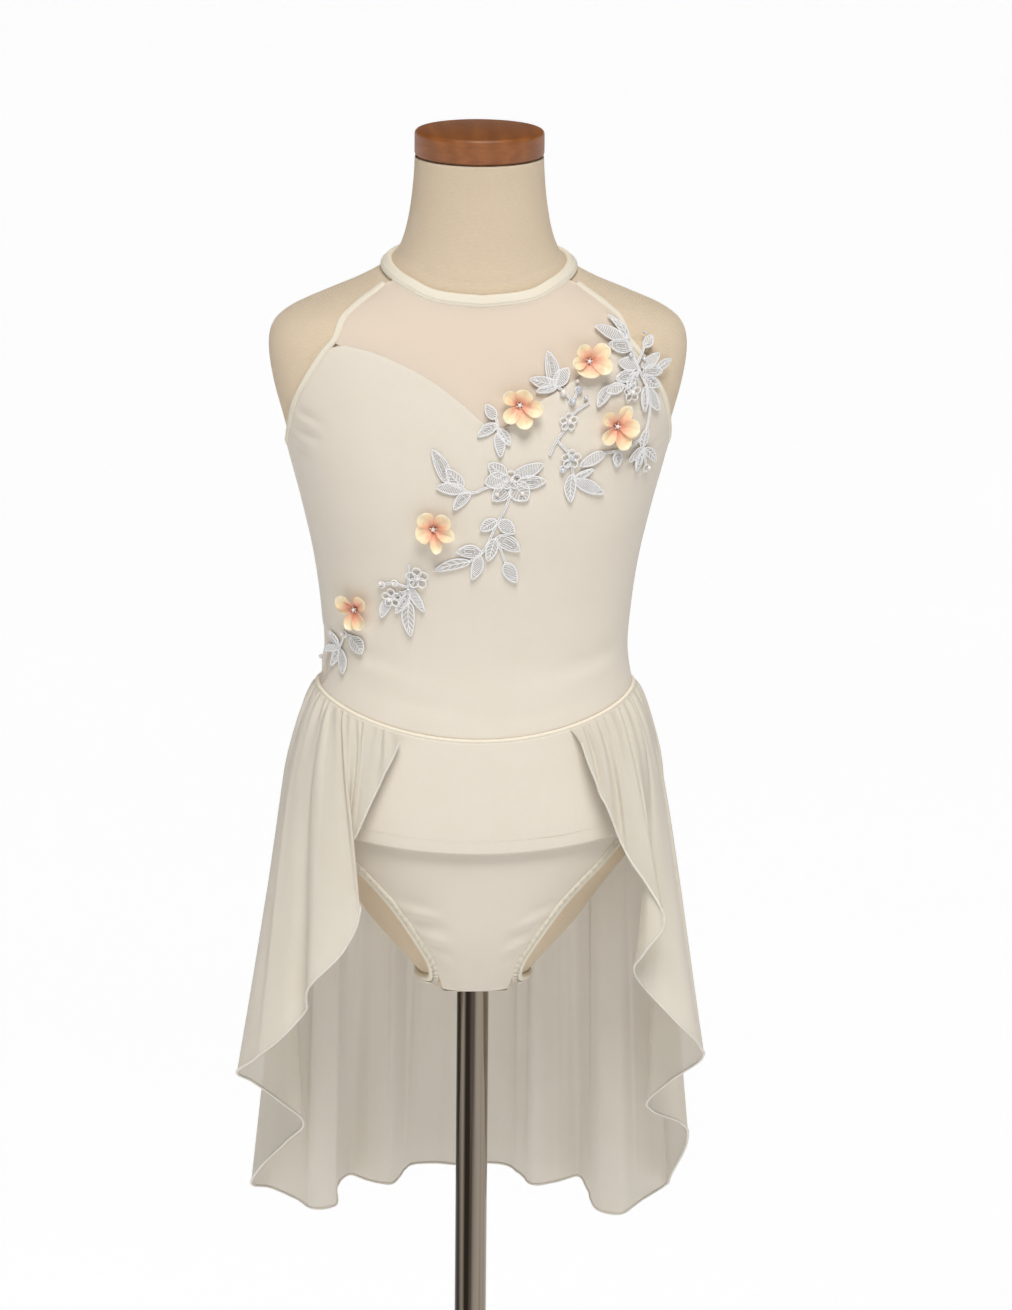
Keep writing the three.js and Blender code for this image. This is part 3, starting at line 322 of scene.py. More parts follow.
# Pale chiffon: a fine crepe weave that lets a little of what is behind show.
def makeChiffon():
    cover = chiffon["cover"]
    material, tree, shader = newMaterial("paleChiffon", "e9e0d4", 0.62, Alpha=cover, Sheen_Weight=0.08)
    place = addNode(tree, "ShaderNodeAttribute", attribute_name="clothPlace").outputs["Vector"]
    threads = weave(tree, place, chiffon["pitch"], chiffon["slub"])
    crepe = addNode(tree, "ShaderNodeTexNoise", {"Vector": place}, Scale=900, Detail=3).outputs["Fac"]
    cloud = addNode(tree, "ShaderNodeTexNoise", {"Vector": place}, Scale=12, Detail=3).outputs["Fac"]
    tints = {0: cloud, 6: colour(chiffon["pale"]), 7: colour(chiffon["deep"])}
    tint = addNode(tree, "ShaderNodeMix", tints, data_type="RGBA")
    tree.links.new(tint.outputs[2], shader.inputs["Base Color"])
    relief = addNode(tree, "ShaderNodeMath", {0: crepe, 1: 1.2, 2: threads}, operation="MULTIPLY_ADD")
    height = {"Height": relief.outputs[0]}
    bump = addNode(tree, "ShaderNodeBump", height, Strength=1.0, Distance=chiffon["relief"])
    tree.links.new(bump.outputs["Normal"], shader.inputs["Normal"])
    return material


linen = {
    "pitch": 0.0009, "slub": 3.5, "slubs": (140, 1500, 1), "thin": "fdeed6", "thick": "ead0ac",
    "cloud": "efd9ba", "weaveShade": "c6a882", "relief": 0.00022,
}


# Unbleached linen glued over the form: thick and thin threads, and painted shade darkening it along the weave.
def makeLinen():
    material, tree, shader = newMaterial("formLinen", "e6d6b6", 0.9, Sheen_Weight=0.15)
    place = addNode(tree, "ShaderNodeAttribute", attribute_name="clothPlace").outputs["Vector"]
    threads = weave(tree, place, linen["pitch"], linen["slub"])
    long = addNode(tree, "ShaderNodeMapping", {"Vector": place}, Scale=linen["slubs"]).outputs["Vector"]
    slubs = addNode(tree, "ShaderNodeTexNoise", {"Vector": long}, Scale=1, Detail=3).outputs["Fac"]
    cloud = addNode(tree, "ShaderNodeTexNoise", {"Vector": place}, Scale=14, Detail=4).outputs["Fac"]
    tone = colour(linen["thin"])
    # Painted shade: the last step darkens the colour toward a tan along the weave pattern.
    for pattern, share, tint in ((slubs, 1, "thick"), (cloud, 0.5, "cloud"), (threads, 0.3, "weaveShade")):
        part = addNode(tree, "ShaderNodeMath", {0: pattern, 1: share}, operation="MULTIPLY").outputs[0]
        tints = {0: part, 6: tone, 7: colour(linen[tint])}
        tone = addNode(tree, "ShaderNodeMix", tints, data_type="RGBA").outputs[2]
    tree.links.new(tone, shader.inputs["Base Color"])
    bump = addNode(tree, "ShaderNodeBump", {"Height": threads}, Strength=1.0, Distance=linen["relief"])
    tree.links.new(bump.outputs["Normal"], shader.inputs["Normal"])
    return material


walnut = {"grain": (60, 12, 220), "dark": "6a3814", "light": "b06a30", "ring": "7a4216", "relief": 0.0001}


# Walnut, turned, stained and satin lacquered, with the grain across the cap.
def makeWalnut():
    coat = {"Coat_Weight": 0.12, "Coat_Roughness": 0.4}
    material, tree, shader = newMaterial("lacqueredWalnut", "8a5a36", 0.5, **coat)
    place = addNode(tree, "ShaderNodeTexCoord").outputs["Object"]
    place = addNode(tree, "ShaderNodeMapping", {"Vector": place}, Scale=walnut["grain"]).outputs["Vector"]
    fibres = addNode(tree, "ShaderNodeTexNoise", {"Vector": place}, Scale=1.6, Detail=8, Roughness=0.65)
    rings = addNode(tree, "ShaderNodeTexWave", {"Vector": place}, Scale=0.35, Distortion=6, Detail=3)
    tone = colour(walnut["dark"])
    for pattern, share, tint in ((fibres, 1, "light"), (rings, 0.5, "ring")):
        part = addNode(tree, "ShaderNodeMath", {0: pattern.outputs["Fac"], 1: share}, operation="MULTIPLY")
        tints = {0: part.outputs[0], 6: tone, 7: colour(walnut[tint])}
        tone = addNode(tree, "ShaderNodeMix", tints, data_type="RGBA").outputs[2]
    tree.links.new(tone, shader.inputs["Base Color"])
    height = {"Height": fibres.outputs["Fac"]}
    bump = addNode(tree, "ShaderNodeBump", height, Strength=0.4, Distance=walnut["relief"])
    tree.links.new(bump.outputs["Normal"], shader.inputs["Normal"])
    return material


# Plated steel. Stretched noise mixes pale streaks into its colour: faint marks of polishing on the base plate,
# and on the pole painted reflection of the room, in upright bands over a near-black colour.
def makePlate(name, base, polishAndReflectionStreaks, roughness, stretch):
    material, tree, shader = newMaterial(name, base, roughness, Metallic=1.0)
    place = addNode(tree, "ShaderNodeTexCoord").outputs["Object"]
    place = addNode(tree, "ShaderNodeMapping", {"Vector": place}, Scale=stretch).outputs["Vector"]
    smear = addNode(tree, "ShaderNodeTexNoise", {"Vector": place}, Scale=30, Detail=4).outputs["Fac"]
    spread = {"Value": smear, "To Min": roughness * 0.7, "To Max": roughness * 1.5}
    rough = addNode(tree, "ShaderNodeMapRange", spread)
    tree.links.new(rough.outputs["Result"], shader.inputs["Roughness"])
    # This mask lays in the pale streaks: polishing marks on the base plate, and painted reflection on the pole.
    sharp = addNode(tree, "ShaderNodeMapRange", {"Value": smear}, From_Min=0.42, From_Max=0.6)
    tints = {0: sharp.outputs["Result"], 6: colour(base), 7: colour(polishAndReflectionStreaks)}
    tint = addNode(tree, "ShaderNodeMix", tints, data_type="RGBA")
    tree.links.new(tint.outputs[2], shader.inputs["Base Color"])
    return material


# Twisted rayon cord and thread, with a soft shine.
def makeCord(name, base, shade):
    material, tree, shader = newMaterial(name, base, 0.42, Sheen_Weight=0.3, Specular_IOR_Level=0.6)
    place = addNode(tree, "ShaderNodeTexCoord").outputs["Object"]
    twist = addNode(tree, "ShaderNodeTexWave", {"Vector": place}, bands_direction="DIAGONAL", Scale=900,
                    Distortion=3)
    cloud = addNode(tree, "ShaderNodeTexNoise", {"Vector": place}, Scale=260, Detail=3)
    share = addNode(tree, "ShaderNodeMath", {0: cloud.outputs["Fac"], 1: 0.8}, operation="MULTIPLY")
    tints = {0: share.outputs[0], 6: colour(base), 7: colour(shade)}
    tint = addNode(tree, "ShaderNodeMix", tints, data_type="RGBA")
    tree.links.new(tint.outputs[2], shader.inputs["Base Color"])
    bump = addNode(tree, "ShaderNodeBump", {"Height": twist.outputs["Fac"]}, Strength=1.0, Distance=0.00012)
    tree.links.new(bump.outputs["Normal"], shader.inputs["Normal"])
    return material


# The colours from a petal's heart to its tip, with their places.
petalTints = [(0.0, "cf7b60"), (0.25, "efac8c"), (0.45, "f6c9a4"), (0.7, "f9e3b8"), (1.0, "fcf3d6")]


# Dyed cut satin: pink-peach at the heart and cream-yellow at the tips.
def makePetalCloth():
    material, tree, shader = newMaterial("petalSatin", "f6dfae", 0.55, Sheen_Weight=0.4, Sheen_Roughness=0.4)
    way = addNode(tree, "ShaderNodeAttribute", attribute_name="petalWay").outputs["Fac"]
    place = addNode(tree, "ShaderNodeTexCoord").outputs["Object"]
    cloud = addNode(tree, "ShaderNodeTexNoise", {"Vector": place}, Scale=220, Detail=3).outputs["Fac"]
    shift = addNode(tree, "ShaderNodeMath", {0: cloud, 1: 0.5}, operation="SUBTRACT").outputs[0]
    tone = addNode(tree, "ShaderNodeMath", {0: shift, 1: 0.5, 2: way}, operation="MULTIPLY_ADD").outputs[0]
    ramp = addNode(tree, "ShaderNodeValToRGB", {"Fac": tone})
    elements = ramp.color_ramp.elements
    while len(elements) < len(petalTints):
        elements.new(0.5)
    for element, (position, text) in zip(elements, petalTints):
        element.position = position
        element.color = colour(text)
    tree.links.new(ramp.outputs["Color"], shader.inputs["Base Color"])
    bump = addNode(tree, "ShaderNodeBump", {"Height": cloud}, Strength=0.6, Distance=0.0004)
    tree.links.new(bump.outputs["Normal"], shader.inputs["Normal"])
    return material


# Glass pearl: opaque, with a clear coat.
def makePearl():
    material, tree, shader = newMaterial("ivoryPearl", "f2ebe0", 0.16, Coat_Weight=0.7, Coat_Roughness=0.05)
    place = addNode(tree, "ShaderNodeTexCoord").outputs["Object"]
    cloud = addNode(tree, "ShaderNodeTexNoise", {"Vector": place}, Scale=500, Detail=2)
    tints = {0: cloud.outputs["Fac"], 6: colour("f6efe4"), 7: colour("e3d8d4")}
    tint = addNode(tree, "ShaderNodeMix", tints, data_type="RGBA")
    tree.links.new(tint.outputs[2], shader.inputs["Base Color"])
    return material


# Cut glass with a silvered back: sharp highlights, and pale and dark facets that are painted reflection in its
# colour.
def makeCrystal():
    material, tree, shader = newMaterial("cutCrystal", "eceef2", 0.04, IOR=1.6, Specular_IOR_Level=0.9)
    place = addNode(tree, "ShaderNodeTexCoord").outputs["Object"]
    # Painted reflection: each cell goes from pale at its middle to dark at its edge.
    paintedFacets = addNode(tree, "ShaderNodeTexVoronoi", {"Vector": place}, Scale=700)
    tints = {0: paintedFacets.outputs["Distance"], 6: colour("f4f5f8"), 7: colour("9d9fa8")}
    tint = addNode(tree, "ShaderNodeMix", tints, data_type="RGBA")
    tree.links.new(tint.outputs[2], shader.inputs["Base Color"])
    return material


# Matt white paint, which glows a little so that it stays white in the corners of the room.
def makeFloorPaint():
    glow = {"Emission_Color": (1, 1, 1, 1), "Emission_Strength": 0.2}
    material, tree, shader = newMaterial("paleFloor", "fbfbfb", 0.9, **glow)
    place = addNode(tree, "ShaderNodeTexCoord").outputs["Object"]
    cloud = addNode(tree, "ShaderNodeTexNoise", {"Vector": place}, Scale=0.8)
    tints = {0: cloud.outputs["Fac"], 6: colour("fdfdfd"), 7: colour("fafafa")}
    tint = addNode(tree, "ShaderNodeMix", tints, data_type="RGBA")
    tree.links.new(tint.outputs[2], shader.inputs["Base Color"])
    return material


materials = {
    "linen": makeLinen(),
    "walnut": makeWalnut(),
    # Painted reflection: the pole's near-black colour and its pale upright streaks stand in for what the chrome
    # reflects.
    "chrome": makePlate("chromeWithPaintedReflection", "2a231e", "93887a", 0.14, (3, 3, 0.02)),
    "steel": makePlate("brushedPlate", "bab8b4", "cfcdc9", 0.45, (1, 1, 1)),
    "jersey": makeJersey("ivoryJersey", "e6ddcf", "dcd1c0"),
    "binding": makeJersey("ivoryBinding", "efe7d5", "e2d7c2"),
    "mesh": makeNet("skinToneMesh", "fff0de", 0.62, 0.0009),
    "chiffon": makeChiffon(),
    "hemThread": makeCord("hemThread", "f3ede2", "e2d8ca"),
    "lace": makeCord("laceCord", "ffffff", "ebe7e4"),
    # The lace net is greyer than its white cords: painted shade in the grooves between the cords.
    "laceNet": makeNet("laceNet", "dad4cc", 0.8, 0.0008),
    "stitchThread": makeCord("stitchThread", "f6f1e6", "e6dcc8"),
    "petal": makePetalCloth(),
    "petalHeart": makeCord("petalHeartSatin", "e59a7c", "cf7253"),
    "pearl": makePearl(),
    "crystal": makeCrystal(),
    "floor": makeFloorPaint(),
}
stage("materials")


# A mesh object from points in millimetres. place gives each point's spot on its cloth, in millimetres.
def makePiece(name, points, faces, material, place=None, edges=()):
    points = np.asarray(points, float).reshape(-1, 3)
    mesh = bpy.data.meshes.new(name)
    mesh.from_pydata((points * mm).tolist(), [tuple(e) for e in edges], [tuple(f) for f in faces])
    if place is not None:
        flat = np.zeros((len(points), 3), np.float32)
        flat[:, :2] = np.asarray(place, float).reshape(-1, 2) * mm
        mesh.attributes.new("clothPlace", "FLOAT_VECTOR", "POINT").data.foreach_set("vector", flat.ravel())
    mesh.materials.append(materials[material])
    if len(mesh.polygons):
        mesh.polygons.foreach_set("use_smooth", [True] * len(mesh.polygons))
    mesh.update()
    piece = bpy.data.objects.new(name, mesh)
    bpy.context.scene.collection.objects.link(piece)
    return piece


# The faces of a net of points by columns and rows.
def gridFaces(columns, rows, loop=False, first=0, turned=False):
    across = columns if loop else columns + 1
    i, j = (grid.ravel() for grid in np.meshgrid(np.arange(columns), np.arange(rows), indexing="ij"))

    def at(a, b):
        return first + (a % across) * (rows + 1) + b

    faces = np.stack([at(i, j), at(i + 1, j), at(i + 1, j + 1), at(i, j + 1)], 1)
    return faces[:, ::-1] if turned else faces


# The faces that close the rim between an inner and an outer net of the same size.
def rimFaces(columns, rows, loop=False):
    across = columns if loop else columns + 1
    size = across * (rows + 1)
    i, j = np.arange(columns), np.arange(rows)
    here, there = (i % across) * (rows + 1), ((i + 1) % across) * (rows + 1)
    rims = [(here + k, there + k, way) for k, way in ((0, 1), (rows, -1))]
    if not loop:
        rims += [(k * (rows + 1) + j, k * (rows + 1) + j + 1, way) for k, way in ((0, -1), (columns, 1))]
    faces = []
    for a, b, way in rims:
        faces.append(np.stack([a, b, b + size, a + size], 1)[:, ::way])
    return np.vstack(faces)


# A wall between two nets of points, closed round its rim.
def makeWall(name, inner, outer, material, place, loop=False):
    columns, rows = inner.shape[0] - (0 if loop else 1), inner.shape[1] - 1
    size = inner.shape[0] * inner.shape[1]
    faces = np.vstack([
        gridFaces(columns, rows, loop, 0, True),
        gridFaces(columns, rows, loop, size),
        rimFaces(columns, rows, loop),
    ])
    points = np.concatenate([inner.reshape(-1, 3), outer.reshape(-1, 3)])
    return makePiece(name, points, faces, material, np.concatenate([place.reshape(-1, 2)] * 2))


def makeSheet(name, points, material, place):
    return makePiece(name, points, gridFaces(points.shape[0] - 1, points.shape[1] - 1), material, place)


# The spot on the cloth of each point on the body: its way round and its height, in millimetres.
def grain(turn, height):
    turn, height = np.broadcast_arrays(turn, height)
    return np.stack([turn * degreeLength, height], -1)


sheetSizes = {}
deepestCrease = 1.3  # deeper ones would sink the cloth into the form


# A panel of cloth on the body, with creases, and its edges rounded down to half the wall.
def makePanel(name, spots, creases, edge=0.35):
    turn, height = spots
    lift = np.maximum(creased(turn, height, creases), -deepestCrease)
    drop = np.zeros(np.shape(turn))
    for line in (np.s_[0], np.s_[-1], np.s_[:, 0], np.s_[:, -1]):
        drop[line] = edge
    inside = offSkin(turn, height, sizes["inner"] + lift)
    outside = offSkin(turn, height, sizes["outer"] + lift - drop)
    piece = makeWall(name, inside, outside, "jersey", grain(turn, height))
    sheetSizes[name] = netSize(outside)
    return piece


# A band along a line on the body. profile gives its section as (share of the width, lift) rows.
def makeBand(name, line, width, profile, closed=False):
    if closed:
        before, after = np.roll(line, 1, 0), np.roll(line, -1, 0)
    else:
        before, after = np.vstack([line[:1], line[:-1]]), np.vstack([line[1:], line[-1:]])
    middle = skin(*line.T)
    along = unit(skin(*after.T) - skin(*before.T))
    out = skinFrame(*line.T)[2]
    side = unit(np.cross(along, out))
    share, lift = np.array(profile, float).T
    points = middle[:, None] + side[:, None] * (share * width)[:, None] + out[:, None] * lift[:, None]
    place = np.stack(np.broadcast_arrays(runAlong(middle)[:, None], (share * width)[None]), -1)
    around = len(profile)
    i, j = np.meshgrid(np.arange(len(line) - (0 if closed else 1)), np.arange(around), indexing="ij")
    here, there, following = i * around, (i + 1) % len(line) * around, (j + 1) % around
    quads = np.stack([here + j, there + j, there + following, here + following], -1)
    faces = list(quads.reshape(-1, 4))
    if not closed:
        last = len(line) * around
        faces += [tuple(range(around)), tuple(range(last - 1, last - around - 1, -1))]
    return makePiece(name, points, faces, "binding", place)


# A folded band's section: flat inside, full over its folded edges, with a groove where its seam is sewn.
def bandProfile(inner, outer, groove=None, steps=16):
    share = np.linspace(0.5, -0.5, steps)
    lift = inner + (outer - inner) * (1 - np.abs(2 * share) ** 5) ** 0.5
    if groove:
        place, width, depth = groove
        lift -= depth * np.exp(-(((share - place) / width) ** 2))
    return list(zip(share, lift))


# A tree with a Geometry input and output and the inputs that kinds names.
def newTree(name, kinds):
    tree = bpy.data.node_groups.new(name, "GeometryNodeTree")
    tree.interface.new_socket("Geometry", in_out="INPUT", socket_type="NodeSocketGeometry")
    for label, kind in kinds.items():
        tree.interface.new_socket(label, in_out="INPUT", socket_type=kind)
    tree.interface.new_socket("Geometry", in_out="OUTPUT", socket_type="NodeSocketGeometry")
    return tree, addNode(tree, "NodeGroupInput"), addNode(tree, "NodeGroupOutput")


# Every tree ends in the same way: its instances are made real and take the material.
def finishTree(tree, source, material, output):
    real = addNode(tree, "GeometryNodeRealizeInstances", {"Geometry": source})
    soft = addNode(tree, "GeometryNodeSetShadeSmooth", {"Geometry": real.outputs[0]})
    shade = addNode(tree, "GeometryNodeSetMaterial", {"Geometry": soft.outputs[0], "Material": material})
    tree.links.new(shade.outputs[0], output.inputs[0])
    return tree


# Round cords along the edges of a mesh, as thick as each point's cordRadius.
def makeCordTree():
    kinds = {"Material": "NodeSocketMaterial", "Sides": "NodeSocketInt"}
    tree, given, output = newTree("cordAlongEdges", kinds)
    curve = addNode(tree, "GeometryNodeMeshToCurve", {"Mesh": given.outputs["Geometry"]})
    radius = addNode(tree, "GeometryNodeInputNamedAttribute", data_type="FLOAT", Name="cordRadius")
    sides = {"Resolution": given.outputs["Sides"]}
    circle = addNode(tree, "GeometryNodeCurvePrimitiveCircle", sides, Radius=1.0)
    shape = {"Curve": curve.outputs[0], "Profile Curve": circle.outputs[0], "Scale": radius.outputs[0]}
    tube = addNode(tree, "GeometryNodeCurveToMesh", shape, Fill_Caps=True)
    return finishTree(tree, tube.outputs[0], given.outputs["Material"], output)


# Stitches laid end to end along the edges of a mesh.
def makeStitchTree():
    kinds = {"Material": "NodeSocketMaterial", "Pitch": "NodeSocketFloat", "Size": "NodeSocketVector"}
    tree, given, output = newTree("stitchesAlongEdges", kinds)
    curve = addNode(tree, "GeometryNodeMeshToCurve", {"Mesh": given.outputs["Geometry"]})
    source = {"Curve": curve.outputs[0], "Length": given.outputs["Pitch"]}
    points = addNode(tree, "GeometryNodeCurveToPoints", source, mode="LENGTH")
    stitch = addNode(tree, "GeometryNodeMeshIcoSphere", Radius=0.5, Subdivisions=1)
    copies = addNode(tree, "GeometryNodeInstanceOnPoints", {
        "Points": points.outputs["Points"],
        "Instance": stitch.outputs["Mesh"],
        "Rotation": points.outputs["Rotation"],
        "Scale": given.outputs["Size"],
    })
    return finishTree(tree, copies.outputs[0], given.outputs["Material"], output)


# A round bead on every point of a mesh, as large as the point's beadRadius.
def makeBeadTree():
    kinds = {"Material": "NodeSocketMaterial", "Detail": "NodeSocketInt"}
    tree, given, output = newTree("beadsOnPoints", kinds)
    radius = addNode(tree, "GeometryNodeInputNamedAttribute", data_type="FLOAT", Name="beadRadius")
    bead = addNode(tree, "GeometryNodeMeshIcoSphere", {"Subdivisions": given.outputs["Detail"]}, Radius=1.0)
    copies = addNode(tree, "GeometryNodeInstanceOnPoints", {
        "Points": given.outputs["Geometry"],
        "Instance": bead.outputs["Mesh"],
        "Scale": radius.outputs[0],
    })
    return finishTree(tree, copies.outputs[0], given.outputs["Material"], output)


trees = {"cord": makeCordTree(), "stitch": makeStitchTree(), "bead": makeBeadTree()}


# Runs a tree on a piece and keeps what it makes as the piece's own mesh.
def grow(piece, tree, **values):
    modifier = piece.modifiers.new("grown", "NODES")
    modifier.node_group = trees[tree]
    for item in trees[tree].interface.items_tree:
        if item.in_out == "INPUT" and item.name in values:
            modifier[item.identifier] = values[item.name]
    depsgraph = bpy.context.evaluated_depsgraph_get()
    made = bpy.data.meshes.new_from_object(piece.evaluated_get(depsgraph))
    piece.modifiers.clear()
    piece.data = made
    return piece


# Gives every point of a piece a value of its own, under a name.
def carry(piece, name, values):
    carried = piece.data.attributes.new(name, "FLOAT", "POINT")
    carried.data.foreach_set("value", np.asarray(values, np.float32))


# Cords through lists of points in millimetres. Each cord is (points, radius, closed).
def makeCords(name, cords, material, sides=6):
    points, edges, radii = [], [], []
    for line, radius, closed in cords:
        first, count = len(radii), len(line)
        points.extend(np.asarray(line).tolist())
        edges.extend((first + k, first + k + 1) for k in range(count - 1))
        if closed:
            edges.append((first + count - 1, first))
        radii.extend(np.broadcast_to(radius, (count,)) * mm)
    piece = makePiece(name, points, [], material, edges=edges)
    carry(piece, "cordRadius", radii)
    return grow(piece, "cord", Material=materials[material], Sides=sides)


# Stitches along lists of points. size is a stitch's thickness both ways and its length.
def makeStitches(name, lines, material, pitch, size):
    points, edges = [], []
    for line in lines:
        first = len(points)
        points.extend(np.asarray(line).tolist())
        edges.extend((first + k, first + k + 1) for k in range(len(line) - 1))
    piece = makePiece(name, points, [], material, edges=edges)
    sized = [s * mm for s in size]
    return grow(piece, "stitch", Material=materials[material], Pitch=pitch * mm, Size=sized)


# Beads, each (point, radius).
def makeBeads(name, beads, material, detail=2):
    piece = makePiece(name, [point for point, radius in beads], [], material)
    carry(piece, "beadRadius", [radius * mm for point, radius in beads])
    return grow(piece, "bead", Material=materials[material], Detail=detail)


pieces = {}


# Puts a piece on the part, in the place of a CAD node where it stands for one.
def place(piece, slot, *nodes):
    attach(piece, "root")
    if nodes:
        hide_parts(*nodes)
    pieces[piece.name] = piece
    return piece


# How full of cloth its rectangle is: less than loose, and its shapes are cut close instead. least is how many
# times as large as the cloth it has to be.
cutting = {"loose": 0.35, "close": 0.5, "least": 1.02}


# Works out and prints the rectangle, or less, that a sheet of cloth is cut from. grown is its size on the body
# for each part of its cut size, so a stretched piece has more than 1. A closed wall has two faces of the same
# cloth.
def declareSheet(piece, held, restsOn, width, length, grown=1.0, withPieces=()):
    area = sum(face.area for face in piece.data.polygons)
    closed = len(piece.data.edges) * 2 == sum(len(face.vertices) for face in piece.data.polygons)
    flatArea = area / (2 if closed else 1) / grown ** 2
    cut = [width * mm / grown, length * mm / grown]
    filled = flatArea / (cut[0] * cut[1])
    if filled < cutting["loose"]:  # small shapes are cut close together from a smaller rectangle
        cut = [side * math.sqrt(filled / cutting["close"]) for side in cut]
    cut[1] = max(cut[1], flatArea / cut[0] * cutting["least"])
    stage(f"{piece.name}: cut {cut[0] * 1000:.0f} x {cut[1] * 1000:.0f} mm, {flatArea * 1e4:.0f} cm2")


# How far a line of points has run at each of them.
def runAlong(points):
    return np.concatenate([[0], np.cumsum(np.linalg.norm(np.diff(points, axis=0), axis=1))])


# The width and length of a net of points: its longest row and its longest column, in millimetres.
def netSize(points):
    across = np.linalg.norm(np.diff(points, axis=0), axis=2).sum(0).max()
    return across, np.linalg.norm(np.diff(points, axis=1), axis=2).sum(1).max()


# give is how far the cloth presses the linen in.
form = {"foot": 645, "top": 1250, "around": 160, "step": 2.0, "give": 0.6, "seamSink": 0.5, "seamWidth": 1.1}
neckSeam = np.array([(-180, 1183), (-120, 1183), (-62, 1180.6), (-36, 1174.4), (-19, 1169.4), (-6, 1167.3),
                     (10, 1168.6), (29, 1173.2), (70, 1179.5), (120, 1183), (180, 1183)])


# The faces of a tube of points with both its ends closed.
def cappedFaces(around, rows):
    foot = tuple((around - 1 - k) * (rows + 1) for k in range(around))
    top = tuple(k * (rows + 1) + rows for k in range(around))
    return [*gridFaces(around, rows, True), foot, top]


def makeTorso():
    heights = np.arange(form["foot"], form["top"] + 0.1, form["step"])
    turns = np.arange(form["around"]) * 360 / form["around"] - 180
    turn, height = np.meshgrid(turns, heights, indexing="ij")
    seam = np.interp(turn, neckSeam[:, 0], neckSeam[:, 1])
    sink = form["seamSink"] * np.exp(-(((height - seam) / form["seamWidth"]) ** 2))
    points = offSkin(turn, height, -form["give"] - sink)
    faces = cappedFaces(form["around"], len(heights) - 1)
    folded = np.degrees(np.arcsin(np.sin(turn * degree)))  # its front and back are joined at the sides
    torsoPiece = makePiece("linenTorso", points, faces, "linen", grain(folded, height))
    place(torsoPiece, "form_linen", "form_torso")
    line = sampled(neckSeam[1:-1], 120)
    thread = offSkin(*line.T, -form["give"] - 0.25)
    stitches = makeStitches("neckSeamStitches", [thread], "hemThread", 2.6, (0.35, 0.35, 2.0))
    place(stitches, "form_linen")


# A turned piece from (radius, height) rows that start and end on the axis.
def makeTurned(name, profile, material, sides=96):
    profile = np.array(profile, float)[1:-1]
    angle = np.arange(sides) * 2 * np.pi / sides
    radius, height = profile.T
    points = np.stack([
        np.cos(angle)[:, None] * radius,
        np.sin(angle)[:, None] * radius,
        np.broadcast_to(height, (sides, len(height))),
    ], -1)
    piece = makePiece(name, points, cappedFaces(sides, len(height) - 1), material)
    piece.data.set_sharp_from_angle(angle=35 * degree)
    return piece


def rounded(radius, height, bend, steps=6):
    return [(radius - bend + bend * math.cos(a), height - bend + bend * math.sin(a))
            for a in np.linspace(0, math.pi / 2, steps)]


stand = {"capRadius": 46.3, "capBottom": 1250.3, "capTop": 1268.3, "poleRadius": 11.5, "baseRadius": 140}


def makeStand():
    r, low, high = stand["capRadius"], stand["capBottom"], stand["capTop"]
    foot = [(0, low), (r - 1.5, low), (r - 0.5, low + 0.6), (r, low + 2)]
    cap = makeTurned("walnutCap", [*foot, *rounded(r, high, 3), (0, high)], "walnut")
    place(cap, "cap_walnut", "neck_cap")
    p = stand["poleRadius"]
    pole = makeTurned("chromePole", [(0, 8.3), (p, 8.3), (p, 300), (p, 644.7), (0, 644.7)], "chrome", 64)
    place(pole, "pole_chrome", "pole")
    b = stand["baseRadius"]
    base = makeTurned("steelBase", [(0, 0), (b, 0), *rounded(b, 8, 3), (0, 8)], "steel", 128)
    place(base, "base_steel", "base_plate")


makeTorso()
makeStand()
stage("form and stand")


# tuck is how far a panel's edge runs in under its binding, and seamTop is the skirt's and hip panel's edge.
sizes = {
    "inner": 1.4, "outer": 2.6, "tuck": 0.8, "sideSeam": 93, "neckBand": 10, "armhole": 5.5, "leg": 9,
    "piping": 3, "pipingMiddle": 2.9, "pipingRadius": 1.7, "bindingInner": -0.4, "bindingOuter": 3.1,
    "seamTop": 0.9,
}
brief = {"corner": 38, "foot": 646.4, "legFoot": 660}
waistEdge = sizes["piping"] / 2 - sizes["tuck"]

sweetheart = [(-39.5, 1124), (-30, 1119.5), (-22, 1112), (-14, 1101), (-6, 1085.5), (0, 1072), (3, 1066.5),
              (6, 1069), (16, 1087), (26, 1103), (33, 1115), (39.5, 1124)]
neckLine = table("turn height", (0, 1155), (20, 1158), (40, 1165), (70, 1171.5), (110, 1175), (180, 1176))
armholeLine = [(54, 1162.8), (46.5, 1145), (42, 1129), (45, 1117), (52, 1098), (60, 1080), (69, 1061),
               (79, 1048), (93, 1041), (112, 1033), (140, 1014), (160, 1001), (180, 996)]
legLine = [(90, 798), (74, 789), (62, 776), (53, 761), (46, 742), (41, 722), (37, 702), (34.5, 682), (35, 666),
           (43, 654.5), (64, 650.5), (90, 650), (116, 650.5), (136, 654.5), (142, 666), (139, 686), (132, 710),
           (124, 738), (116, 765), (106, 788)]
inset = {"turn": -93, "height": 886, "halfTurn": 22.5, "halfHeight": 26}

